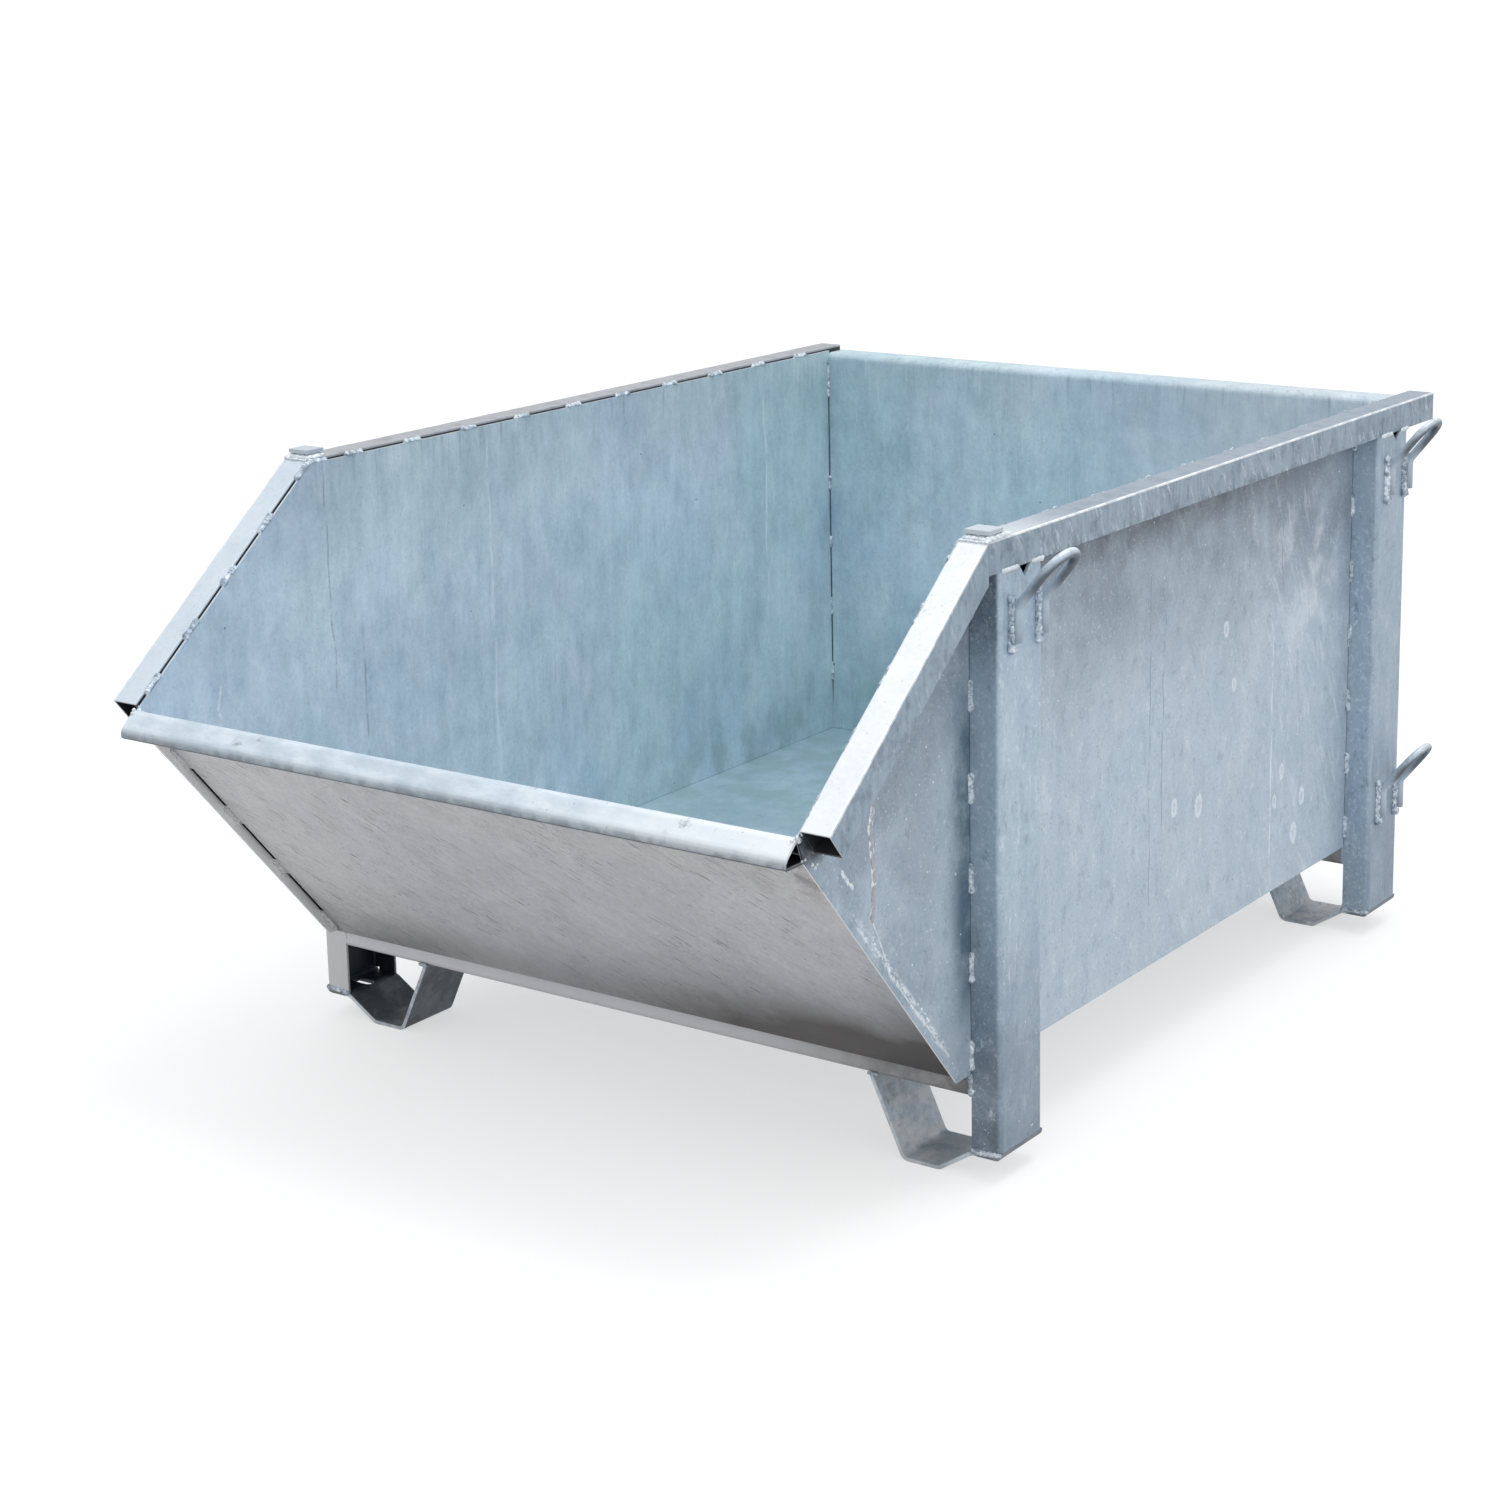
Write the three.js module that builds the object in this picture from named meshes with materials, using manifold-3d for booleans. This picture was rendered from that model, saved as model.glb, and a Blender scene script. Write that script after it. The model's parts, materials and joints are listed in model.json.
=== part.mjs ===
// Open-front stackable waste container of welded sheet steel, hot-dip galvanised.
// X runs across from the middle, Y from the lip at the front to the flange at the rear, Z up from the feet.
import * as THREE from 'three';
import { mergeVertices } from 'three/addons/utils/BufferGeometryUtils.js';
import Module from 'manifold-3d';

const wasm = await Module();
wasm.setup();

// Overall
const overallLength = 1628; // front face of the lip to the end of the rear flange
const bodyWidth = 1030; // over the side sheets
const rimTop = 800; // top face of the level rims above the ground
const floorUnderside = 135; // above the ground

// Sheets
const sideSheet = 3;
const floorSheet = 4;
const wallSheet = 4; // rear wall and front panel

// Clearances
const fit = 0.3; // between pieces that meet on a slope or at a round bar
const cutOverrun = 5; // how far a cutting body runs past the piece

// Rear wall and its flange
const rearFlangeDepth = 43; // from the inside of the wall to the flange's end
const rearFlangeDrop = 8; // from the rims' top to the flange's top
const rearFoldRadius = 6; // inside radius

// Rims: one square tube, level along the sides and sloping down to the nose, open at its ends
const rimLeg = 40; // each side of the square
const rimSheet = 3; // the tube's wall
const rimEdgeRadius = 1; // of the tube's outer edges, inside which the caps' mounds keep
const rimGap = 1.5; // between side sheet and rim
const rimCornerSetback = 355.5; // from the lip's front to the rims' front corner
const slopeRun = 327.5; // of the sloped rim's top edge, along Y
const slopeDrop = 264; // the same, along Z
const sheetBelowRim = 5; // from the rims' top face to the side sheet's edge

// Side sheet's nose and lower slope
const bottomSetback = 346; // from the lip's front to the front end of the side sheet's bottom edge
const noseSetback = 35.5; // from the lip's front to the side sheet's nose
const noseHeight = 498;
const noseTipHeight = 527; // where the side sheet's front edge meets its sloped top edge

// Front panel and lip, one folded sheet
const panelInset = 12.4; // from the side sheets' lower slope to the panel's outside
const lipApexHeight = 533; // sharp corner of panel and lip, before its fold is rounded
const lipShoulderHeight = 508.7; // sharp corner where the lip turns down
const lipUnderside = 496.5;
const lipApexRadius = 8; // inside radii of the three folds
const lipShoulderRadius = 11;
const lipCornerRadius = 1;
const lipSeam = 1; // between the lip's return and the panel

// Corner posts
const postWidth = 98;
const postSheet = 4;
const postFoldRadius = 3;
const frontPostSetback = 23.5; // from the rims' front corner
const rearPostSetback = 52; // from the outside of the rear wall
const notchStart = 45; // vent notch in the web's top, from the web's front edge
const notchWidth = 25;
const notchApex = 11; // from the notch's front end
const notchDepth = 14;

// Foot straps
const strapSheet = 5;
const strapSeat = 30; // underside of the part that carries the post
const strapUpturn = 10; // height of the turned-up end
const strapUpturnRadius = 3; // inside radii
const strapBendRadius = 8;
const webRelief = 12; // width of the strap's fold that the post's flanges stay clear of
const padInset = 47; // from the side sheet's outside to the pad
const padLength = 54;
const legLean = 49; // of the inner leg, from the pad to the beam
const slotWidth = 15; // drain slot

// Cross beams
const beamDepth = 30;
const beamSheet = 4;
const beamFoldRadius = 3;

// Eyes of round bar
const barDiameter = 12;
const eyeSpacing = 62; // between the legs' centre lines
const eyeInset = 7; // from the web's rear edge to the rear leg's centre line
const eyeLeg = 42; // upright part of a leg
const eyeStraight = 53; // leaning part of a leg
const eyeLean = 39; // degrees from upright
const eyeElbowRadius = 14; // of the centre line
const liftingEyeDrop = 88; // from the posts' top to the legs' lower ends
const tippingEyeRise = 47; // from the floor's underside to the legs' lower ends
const barSides = 8;

// Rim caps
const capWidth = 34;
const capDepth = 31;
const capSheet = 5;
const capInset = 3; // from the rim's inner edge
const capSetback = 5.5; // from the rims' front corner
const capRise = 6.5; // of the weld mound under the cap
const moundRun = 0.7; // how far the mound's foot reaches past the cap
const moundDepth = 40;

// Weld beads
const filletBead = 6; // leg length of a stitch
const seamBead = 1.6; // leg length of the zinc that fills a seam between its stitches
const filletBulgeShare = 0.58; // how far a bead's round face stands out, of its leg
const panelBeadLength = 49;
const panelBeadPitch = 129;
const panelBeadDrop = 35; // from the lip's underside to the highest bead
const postBeadLength = 40;
const postBeadPitch = 112;
const postBeadStart = 5; // above the side sheet's bottom edge
const cornerBeadLength = 45;
const cornerBeadPitch = 110;
const cornerBeadDrop = 4; // from the rear flange's fold to the highest bead
const eyeBeadLength = 36;
const eyeBeadReach = 9.5; // from the leg's centre line along the web
const eyeBeadToe = 2.8; // the bead's inner edge on the web, from the leg's centre line
const eyeBeadRise = 4.5; // away from the web
const eyeBeadCrest = 7; // the crest's distance from the leg's centre line, along the web
const eyeBeadDrop = 4; // below the leg's end

// Round arcs turn by at most this many degrees a step
const arcStep = 18;

// Worked out from the sizes above
const halfBody = bodyWidth / 2;
const halfInside = halfBody - sideSheet;
const lipFront = -overallLength / 2;
const rearEnd = overallLength / 2;
const rearWallInside = rearEnd - rearFlangeDepth;
const rearWallOutside = rearWallInside + wallSheet;
const rearFlangeTop = rimTop - rearFlangeDrop;
const rimInner = halfBody + rimGap;
const rimOuter = rimInner + rimLeg;
const rimCornerY = lipFront + rimCornerSetback;
const slopeAngle = Math.atan2(slopeDrop, slopeRun);
const slopeLength = Math.hypot(slopeDrop, slopeRun);
const beamUnderside = floorUnderside - beamDepth;
const postTop = rimTop - rimLeg;
const frontPostY = rimCornerY + frontPostSetback;
const rearPostY = rearWallOutside - rearPostSetback - postWidth;
const barRadius = barDiameter / 2;

// The lower slope of the side sheets, and the front panel set back from it
const bottomFront = new THREE.Vector2(lipFront + bottomSetback, floorUnderside);
const nose = new THREE.Vector2(lipFront + noseSetback, noseHeight);
const panelUp = nose.clone().sub(bottomFront).normalize();
const panelIn = new THREE.Vector2(panelUp.y, -panelUp.x);
const panelAngle = Math.atan2(panelUp.y, -panelUp.x);

// The panel's face at a distance from the side sheets' lower slope, at a height
function panelY(inset, height) {
  const start = bottomFront.clone().addScaledVector(panelIn, inset);
  return start.x + (height - start.y) * (panelUp.x / panelUp.y);
}

const panelFoot = new THREE.Vector2(panelY(panelInset, floorUnderside), floorUnderside);

// Outlines
const point = (a, b) => new THREE.Vector2(a, b);
const leftOf = (direction) => point(-direction.y, direction.x);

function directions(points) {
  const list = [];
  for (let i = 1; i < points.length; i += 1) {
    list.push(points[i].clone().sub(points[i - 1]).normalize());
  }
  return list;
}

// The same polyline moved sideways, to its left for a positive distance
function offsetPath(points, distance) {
  const runs = directions(points);
  return points.map((corner, i) => {
    const before = leftOf(runs[Math.max(i - 1, 0)]);
    const after = leftOf(runs[Math.min(i, runs.length - 1)]);
    const bisector = before.clone().add(after).normalize();
    return corner.clone().addScaledVector(bisector, distance / bisector.dot(before));
  });
}

// A polyline with round corners, one radius for each inner corner
function roundedPath(points, radii) {
  const runs = directions(points);
  const path = [points[0]];
  radii.forEach((radius, i) => {
    const corner = points[i + 1];
    const turn = Math.atan2(runs[i].cross(runs[i + 1]), runs[i].dot(runs[i + 1]));
    const reach = radius * Math.tan(Math.abs(turn) / 2);
    const start = corner.clone().addScaledVector(runs[i], -reach);
    const centre = start.clone().addScaledVector(leftOf(runs[i]), Math.sign(turn) * radius);
    const steps = Math.max(1, Math.ceil(Math.abs(turn) / THREE.MathUtils.degToRad(arcStep)));
    for (let step = 0; step <= steps; step += 1) {
      path.push(start.clone().rotateAround(centre, (turn * step) / steps));
    }
  });
  path.push(points[points.length - 1]);
  return path;
}

// The section of a folded sheet: the points run along one face, the sheet lies to their left
// for a positive thickness, and the radii are the inside radii of its folds
function foldedSheet(points, radii, thickness) {
  const runs = directions(points);
  const gauge = Math.abs(thickness);
  const outside = radii.map((_, i) => runs[i].cross(runs[i + 1]) * thickness > 0);
  const faceRadii = radii.map((radius, i) => (outside[i] ? radius + gauge : radius));
  const backRadii = radii.map((radius, i) => (outside[i] ? radius : radius + gauge));
  const back = roundedPath(offsetPath(points, thickness), backRadii);
  return [...roundedPath(points, faceRadii), ...back.reverse()];
}

// Bodies from outlines. Each runs between two places on the axis that it is named for
const axisX = new THREE.Vector3(1, 0, 0);
const axisY = new THREE.Vector3(0, 1, 0);
const axisZ = new THREE.Vector3(0, 0, 1);
const fromYZ = new THREE.Matrix4().makeBasis(axisY, axisZ, axisX);
const fromXZ = new THREE.Matrix4().makeBasis(axisX, axisZ, axisY.clone().negate());

function extrude(outline, depth) {
  return new THREE.ExtrudeGeometry(new THREE.Shape(outline), { depth, bevelEnabled: false });
}

function alongX(outline, from, to) {
  return extrude(outline, to - from).applyMatrix4(fromYZ).translate(from, 0, 0);
}

function alongY(outline, from, to) {
  return extrude(outline, to - from).applyMatrix4(fromXZ).translate(0, to, 0);
}

function alongZ(outline, from, to) {
  return extrude(outline, to - from).translate(0, 0, from);
}

// Mirrors an outline or a body's places to the side that is wanted, +1 for right and -1 for left
const mirrored = (outline, side) => outline.map((corner) => point(corner.x * side, corner.y));

function betweenX(outline, from, to, side) {
  return alongX(outline, Math.min(from * side, to * side), Math.max(from * side, to * side));
}

// Solids for cutting
function toSolid(geometry) {
  const bare = geometry.clone();
  bare.deleteAttribute('normal');
  bare.deleteAttribute('uv');
  const merged = mergeVertices(bare);
  const vertProperties = new Float32Array(merged.attributes.position.array);
  const triVerts = new Uint32Array(merged.index.array);
  return new wasm.Manifold(new wasm.Mesh({ numProp: 3, vertProperties, triVerts }));
}

function toGeometry(solid) {
  const { vertProperties, triVerts } = solid.getMesh();
  const geometry = new THREE.BufferGeometry();
  geometry.setAttribute('position', new THREE.BufferAttribute(vertProperties, 3));
  geometry.setIndex(new THREE.BufferAttribute(triVerts, 1));
  geometry.computeVertexNormals();
  return geometry;
}

function cut(geometry, ...tools) {
  return toGeometry(tools.reduce((left, tool) => left.subtract(toSolid(tool)), toSolid(geometry)));
}

function join(geometries) {
  return toGeometry(geometries.map(toSolid).reduce((whole, body) => whole.add(body)));
}

// Finishes
const finishes = {
  inside: { color: 0x93a7b5, roughness: 0.5, metalness: 0.65 },
  outside: { color: 0xa3b0bb, roughness: 0.5, metalness: 0.65 },
  panel: { color: 0xa7a8aa, roughness: 0.6, metalness: 0.55 },
  rim: { color: 0xdfe4ea, roughness: 0.45, metalness: 0.5 },
  weld: { color: 0xd3dade, roughness: 0.4, metalness: 0.6 },
};

function mesh(name, geometry, finish) {
  const piece = new THREE.Mesh(geometry, new THREE.MeshStandardMaterial(finishes[finish]));
  piece.name = name;
  return piece;
}

// Weld beads. A fillet bead lies in the corner of two faces that meet at the origin of its outline
function filletOutline(signA, signB, leg) {
  const bulge = leg * filletBulgeShare;
  return [point(0, 0), point(signA * leg, 0), point(signA * bulge, signB * bulge), point(0, signB * leg)];
}

const shifted = (outline, a, b) => outline.map((corner) => point(corner.x + a, corner.y + b));

// A seam with its stitches. The bead runs along an axis from one place to another, the first stitch
// starts at its own place, and bead(leg, from, to) makes a stretch of it
function seam(bead, from, to, first, length, pitch) {
  const stretches = [bead(seamBead, from, to)];
  for (let place = first; place + length <= to; place += pitch) {
    stretches.push(bead(filletBead, place, place + length));
  }
  return join(stretches);
}

const container = new THREE.Group();
container.name = 'waste_container';

// Floor, with its front edge bevelled along the inside of the front panel
const panelInside = panelInset + wallSheet;
const floorTop = floorUnderside + floorSheet;
const floorOutline = [
  point(panelY(panelInside, floorUnderside) + fit, floorUnderside),
  point(rearWallInside, floorUnderside),
  point(rearWallInside, floorTop),
  point(panelY(panelInside, floorTop) + fit, floorTop),
];
container.add(mesh('floor_panel', alongX(floorOutline, -halfInside, halfInside), 'inside'));

// Rear wall, folded to the rear along its top
const rearWallFace = [
  point(rearWallInside, floorUnderside),
  point(rearWallInside, rearFlangeTop),
  point(rearEnd, rearFlangeTop),
];
const rearWallOutline = foldedSheet(rearWallFace, [rearFoldRadius], -wallSheet);
container.add(mesh('rear_wall', alongX(rearWallOutline, -halfInside, halfInside), 'inside'));

// Side sheets
const slopeDown = point(-Math.cos(slopeAngle), -Math.sin(slopeAngle));
const slopeEdge = point(rimCornerY, rimTop).addScaledVector(leftOf(slopeDown), sheetBelowRim);
const slopeAtHeight = (height) => slopeEdge.x + (height - slopeEdge.y) * (slopeDown.x / slopeDown.y);
const sideTop = rimTop - sheetBelowRim;
const sideOutline = [
  bottomFront,
  point(rearWallOutside, floorUnderside),
  point(rearWallOutside, sideTop),
  point(slopeAtHeight(sideTop), sideTop),
  point(slopeAtHeight(noseTipHeight), noseTipHeight),
  nose,
];

// Front panel with its lip. The lip is as wide as the body, and the side sheets' noses go up into it
const panelFace = [
  point(panelY(panelInside, floorUnderside), floorUnderside),
  point(panelY(panelInside, lipApexHeight), lipApexHeight),
  point(lipFront, lipShoulderHeight),
  point(lipFront, lipUnderside),
  point(panelY(panelInset, lipUnderside + wallSheet) - lipSeam, lipUnderside),
];
const panelRadii = [lipApexRadius, lipShoulderRadius, lipCornerRadius];
const panelOutline = foldedSheet(panelFace, panelRadii, wallSheet);
const closedSide = [...sideOutline, sideOutline[0], sideOutline[1]];
const sideClearance = offsetPath(closedSide, -fit).slice(1, -1);
const panelCutters = [-1, 1].map((side) => {
  return betweenX(sideClearance, halfInside, halfBody + cutOverrun, side);
});
const panelBody = cut(alongX(panelOutline, -halfBody, halfBody), ...panelCutters);
container.add(mesh('front_panel', panelBody, 'panel'));

// The square tube of the rims: its top face is at height zero of the outline
const rimMiddle = point((rimInner + rimOuter) / 2, -rimLeg / 2);

function rimSquare(half, radius) {
  const { x, y } = rimMiddle;
  const corners = [point(x - half, y - half), point(x + half, y - half), point(x + half, y + half), point(x - half, y + half)];
  const start = point(x - half, y);
  const radii = corners.map(() => radius);
  return roundedPath([start, ...corners, start.clone()], radii).slice(0, -1);
}

function rimTube(side, from, to, ...cutters) {
  const outside = mirrored(rimSquare(rimLeg / 2, rimEdgeRadius), side);
  const hollow = mirrored(rimSquare(rimLeg / 2 - rimSheet, rimEdgeRadius / 2), side);
  return cut(alongY(outside, from, to), alongY(hollow, from - cutOverrun, to + cutOverrun), ...cutters);
}

for (const [word, side] of [['left', -1], ['right', 1]]) {
  const sideName = (name) => `${word}_${name}`;
  const sideBody = betweenX(sideOutline, halfInside, halfBody, side);
  container.add(mesh(sideName('side_panel'), sideBody, 'outside'));

  // Level rim, from the front corner to the end of the rear flange
  const levelRim = new THREE.Group();
  levelRim.position.set(0, rimCornerY, rimTop);
  const levelBody = rimTube(side, 0, rearEnd - rimCornerY);
  levelRim.add(mesh(sideName('top_rim'), levelBody, 'rim'));

  // Sloped rim, in a group turned to the slope, with the upper end cut upright at the corner
  const slopedRim = new THREE.Group();
  slopedRim.position.set(0, rimCornerY, rimTop);
  slopedRim.rotation.x = slopeAngle;
  const endGap = fit / Math.cos(slopeAngle);
  const endCutLow = -(rimLeg + cutOverrun);
  const endCutRun = (rimLeg + cutOverrun) * Math.tan(slopeAngle);
  const endCut = betweenX(
    [point(-endGap, 0), point(-endGap - endCutRun, endCutLow), point(cutOverrun, endCutLow), point(cutOverrun, 0)],
    rimInner - cutOverrun,
    rimOuter + cutOverrun,
    side,
  );
  const slopedBody = rimTube(side, -slopeLength, -endGap, endCut);
  slopedRim.add(mesh(sideName('front_rim'), slopedBody, 'rim'));

  // Cap plate on its weld mound, over the rims' front corner
  const cap = new THREE.Group();
  cap.position.set(side * (rimInner + capInset + capWidth / 2), rimCornerY + capSetback, rimTop);
  const plate = new THREE.BoxGeometry(capWidth, capDepth, capSheet);
  plate.translate(0, capDepth / 2, capRise + capSheet / 2);
  cap.add(mesh(sideName('rim_cap'), plate, 'rim'));
  const moundOutline = [
    point(-capWidth / 2 - moundRun, 0),
    point(capWidth / 2 + moundRun, 0),
    point(capWidth / 2, capRise),
    point(-capWidth / 2, capRise),
  ];
  const moundFront = (capDepth - moundDepth) / 2;
  const mound = alongY(moundOutline, moundFront, moundFront + moundDepth);
  cap.add(mesh(sideName('rim_cap_weld'), mound, 'weld'));

  // Stitches between the front panel's outside and the side sheet, counted down from the lip
  const panelSeam = new THREE.Group();
  panelSeam.position.set(0, panelFoot.x, panelFoot.y);
  panelSeam.rotation.x = -panelAngle;
  const seamTop = (lipUnderside - floorUnderside) / panelUp.y - panelBeadDrop;
  const panelBead = (leg, from, to) => {
    const outline = shifted(filletOutline(-1, -1, leg), halfInside - fit, -fit);
    return alongY(mirrored(outline, side), from, to);
  };
  const panelSeamBody = seam(panelBead, -seamTop, 0, -seamTop, panelBeadLength, panelBeadPitch);
  panelSeam.add(mesh(sideName('front_panel_weld'), panelSeamBody, 'weld'));

  // Stitches in the inner corner of rear wall and side sheet, counted down from the flange
  const cornerTop = rearFlangeTop - rearFoldRadius - wallSheet - cornerBeadDrop;
  const cornerBead = (leg, from, to) => {
    const outline = shifted(filletOutline(-1, -1, leg), halfInside, rearWallInside);
    return alongZ(mirrored(outline, side), -to, -from);
  };
  const cornerBody = seam(cornerBead, -cornerTop, -floorTop, -cornerTop, cornerBeadLength, cornerBeadPitch);
  container.add(levelRim, slopedRim, cap, panelSeam);
  container.add(mesh(sideName('rear_wall_weld'), cornerBody, 'weld'));
}

// Post: a folded channel with its flanges on the side sheet, its web flush with the rim's leg.
// Y starts at the web's front edge
function postBody(side) {
  const channel = [
    point(halfBody, 0),
    point(rimOuter, 0),
    point(rimOuter, postWidth),
    point(halfBody, postWidth),
  ];
  const section = foldedSheet(mirrored(channel, side), [postFoldRadius, postFoldRadius], postSheet * side);
  const seatTop = strapSeat + strapSheet;
  const upturnTop = strapSeat + strapUpturn;
  const notch = betweenX(
    [
      point(notchStart, postTop),
      point(notchStart + notchApex, postTop - notchDepth),
      point(notchStart + notchWidth, postTop),
      point(notchStart + notchApex, postTop + cutOverrun),
    ],
    rimOuter - postSheet - postFoldRadius,
    rimOuter + cutOverrun,
    side,
  );
  const relief = betweenX(
    [
      point(-cutOverrun, seatTop - cutOverrun),
      point(postWidth + cutOverrun, seatTop - cutOverrun),
      point(postWidth + cutOverrun, upturnTop),
      point(-cutOverrun, upturnTop),
    ],
    rimOuter - webRelief,
    rimOuter + cutOverrun,
    side,
  );
  return cut(alongZ(section, seatTop, postTop), notch, relief);
}

// Foot strap: turned up under the post's web, bent down to the pad and up to the cross beam
function strapBody(side) {
  const padOuter = halfBody - padInset;
  const padInner = padOuter - padLength;
  const legRise = beamUnderside + cutOverrun;
  const face = [
    point(rimOuter, strapSeat + strapUpturn),
    point(rimOuter, strapSeat),
    point(halfBody, strapSeat),
    point(padOuter, 0),
    point(padInner, 0),
    point(padInner - (legLean * legRise) / beamUnderside, legRise),
  ];
  const radii = [strapUpturnRadius, strapBendRadius, strapBendRadius, strapBendRadius];
  const section = foldedSheet(mirrored(face, side), radii, -strapSheet * side);
  const trim = new THREE.BoxGeometry(halfBody, postWidth + cutOverrun, legRise);
  trim.translate((side * halfBody) / 2, postWidth / 2, beamUnderside + legRise / 2);
  const slotEnd = halfBody + slotWidth / 2;
  const slotStart = rimOuter - strapUpturnRadius - strapSheet;
  const slot = new THREE.Shape(mirrored([point(slotStart, -slotWidth / 2), point(slotEnd, -slotWidth / 2)], side));
  slot.absarc(side * slotEnd, 0, slotWidth / 2, -Math.PI / 2, Math.PI / 2, side > 0);
  slot.lineTo(side * slotStart, slotWidth / 2);
  const slotTool = new THREE.ExtrudeGeometry(slot, {
    depth: strapSeat + strapSheet + cutOverrun,
    bevelEnabled: false,
    curveSegments: Math.round(180 / arcStep),
  });
  slotTool.translate(0, postWidth / 2, 0);
  return cut(alongY(section, 0, postWidth), trim, slotTool);
}

// The centre line of a bent bar, given as its points
class BarLine extends THREE.Curve {
  constructor(points) {
    super();
    this.points = points;
  }

  getUtoTmapping(u) {
    return u;
  }

  getPoint(t) {
    const place = t * (this.points.length - 1);
    const index = Math.min(Math.floor(place), this.points.length - 2);
    return this.points[index].clone().lerp(this.points[index + 1], place - index);
  }

  getTangent(t) {
    const last = this.points.length - 1;
    const index = Math.round(t * last);
    const middle = this.points[index];
    const ahead = this.points[Math.min(index + 1, last)].clone().sub(middle).normalize();
    const behind = middle.clone().sub(this.points[Math.max(index - 1, 0)]).normalize();
    return ahead.add(behind).normalize();
  }
}

// Eye: two upright legs that lean out over an elbow and join in a half circle.
// The origin is the lower end of the rear leg's centre line
function eyeBody(side) {
  const lean = THREE.MathUtils.degToRad(eyeLean);
  const profile = [point(0, 0), point(0, eyeLeg), point(0, eyeLeg)];
  profile[2].add(point(Math.sin(lean), Math.cos(lean)).multiplyScalar(eyeStraight));
  const leg = roundedPath(profile, [eyeElbowRadius]);
  const bowRadius = eyeSpacing / 2;
  const rearLeg = leg.map((place) => new THREE.Vector3(place.x * side, 0, place.y));
  const frontLeg = leg.map((place) => new THREE.Vector3(place.x * side, -eyeSpacing, place.y));
  const bow = [];
  const bowSteps = Math.round(180 / arcStep);
  for (let step = 1; step < bowSteps; step += 1) {
    const angle = (Math.PI * step) / bowSteps;
    const reach = eyeStraight + bowRadius * Math.sin(angle);
    const across = bowRadius * (Math.cos(angle) - 1);
    bow.push(new THREE.Vector3(side * reach * Math.sin(lean), across, eyeLeg + reach * Math.cos(lean)));
  }
  const line = new BarLine([...rearLeg, ...bow, ...frontLeg.reverse()]);
  const section = new THREE.Shape();
  for (let i = 0; i < barSides; i += 1) {
    const angle = (2 * Math.PI * i) / barSides;
    const corner = point(barRadius * Math.cos(angle), barRadius * Math.sin(angle));
    section[i === 0 ? 'moveTo' : 'lineTo'](corner.x, corner.y);
  }
  const steps = line.points.length - 1;
  return new THREE.ExtrudeGeometry(section, { steps, extrudePath: line, bevelEnabled: false });
}

// The bead round the lower end of an eye's leg: along both sides of the bar and under its end.
// The origin is the lower end of the leg's centre line
function eyeBead(side) {
  const web = -(barRadius + fit);
  const flanks = [-1, 1].map((way) => {
    const outline = [
      point(web, way * eyeBeadToe),
      point(web, way * eyeBeadReach),
      point(web + eyeBeadRise, way * eyeBeadCrest),
    ];
    return alongZ(mirrored(outline, side), -eyeBeadDrop, eyeBeadLength);
  });
  const under = [
    point(web, -eyeBeadReach),
    point(web + eyeBeadRise, -eyeBeadCrest),
    point(web + eyeBeadRise, eyeBeadCrest),
    point(web, eyeBeadReach),
  ];
  return join([...flanks, alongZ(mirrored(under, side), -eyeBeadDrop, -fit)]);
}

// Seam between a flange of a post and the side sheet. Y starts at the flange's outside
function postSeam(side, way) {
  const bead = (leg, from, to) => {
    return alongZ(mirrored(shifted(filletOutline(1, way, leg), halfBody, 0), side), from, to);
  };
  const first = floorUnderside + postBeadStart;
  return seam(bead, floorUnderside, postTop, first, postBeadLength, postBeadPitch);
}

// Corners and cross beams, front and rear
const stations = [
  { word: 'front', y: frontPostY, tipping: false },
  { word: 'rear', y: rearPostY, tipping: true },
];

for (const station of stations) {
  const frame = new THREE.Group();
  frame.position.y = station.y;

  // Channel under the floor, its web down
  const beamFace = [
    point(0, floorUnderside),
    point(0, beamUnderside),
    point(postWidth, beamUnderside),
    point(postWidth, floorUnderside),
  ];
  const beamOutline = foldedSheet(beamFace, [beamFoldRadius, beamFoldRadius], beamSheet);
  frame.add(mesh(`${station.word}_cross_beam`, alongX(beamOutline, -halfBody, halfBody), 'outside'));

  for (const [word, side] of [['left', -1], ['right', 1]]) {
    const cornerName = (name) => `${station.word}_${word}_${name}`;
    frame.add(mesh(cornerName('post'), postBody(side), 'outside'));
    frame.add(mesh(cornerName('foot'), strapBody(side), 'outside'));
    for (const [flange, way, face] of [['front', -1, 0], ['rear', 1, postWidth]]) {
      const weld = mesh(cornerName(`post_${flange}_weld`), postSeam(side, way), 'weld');
      weld.position.y = face;
      frame.add(weld);
    }

    const seats = [['lifting_eye', postTop - liftingEyeDrop]];
    if (station.tipping) {
      seats.push(['tipping_eye', floorUnderside + tippingEyeRise]);
    }
    for (const [name, seat] of seats) {
      const eye = new THREE.Group();
      eye.position.set(side * (rimOuter + barRadius + fit), postWidth - eyeInset, seat);
      eye.add(mesh(cornerName(name), eyeBody(side), 'rim'));
      for (const [leg, place] of [['front', -eyeSpacing], ['rear', 0]]) {
        const weld = mesh(cornerName(`${name}_${leg}_weld`), eyeBead(side), 'weld');
        weld.position.y = place;
        eye.add(weld);
      }
      frame.add(eye);
    }
  }
  container.add(frame);
}

export default container;
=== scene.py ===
# %% [markdown]
# # Waste container
# An open-front steel container for rubble and waste, hot-dip galvanised after welding.
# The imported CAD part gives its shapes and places. This script gives it its zinc, its weld beads
# and its light. The container is one stiff body, so every piece here rides on that body.

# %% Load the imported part
import json
import math
import random

import bmesh
import bpy
from mathutils import Matrix, Vector, noise


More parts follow.
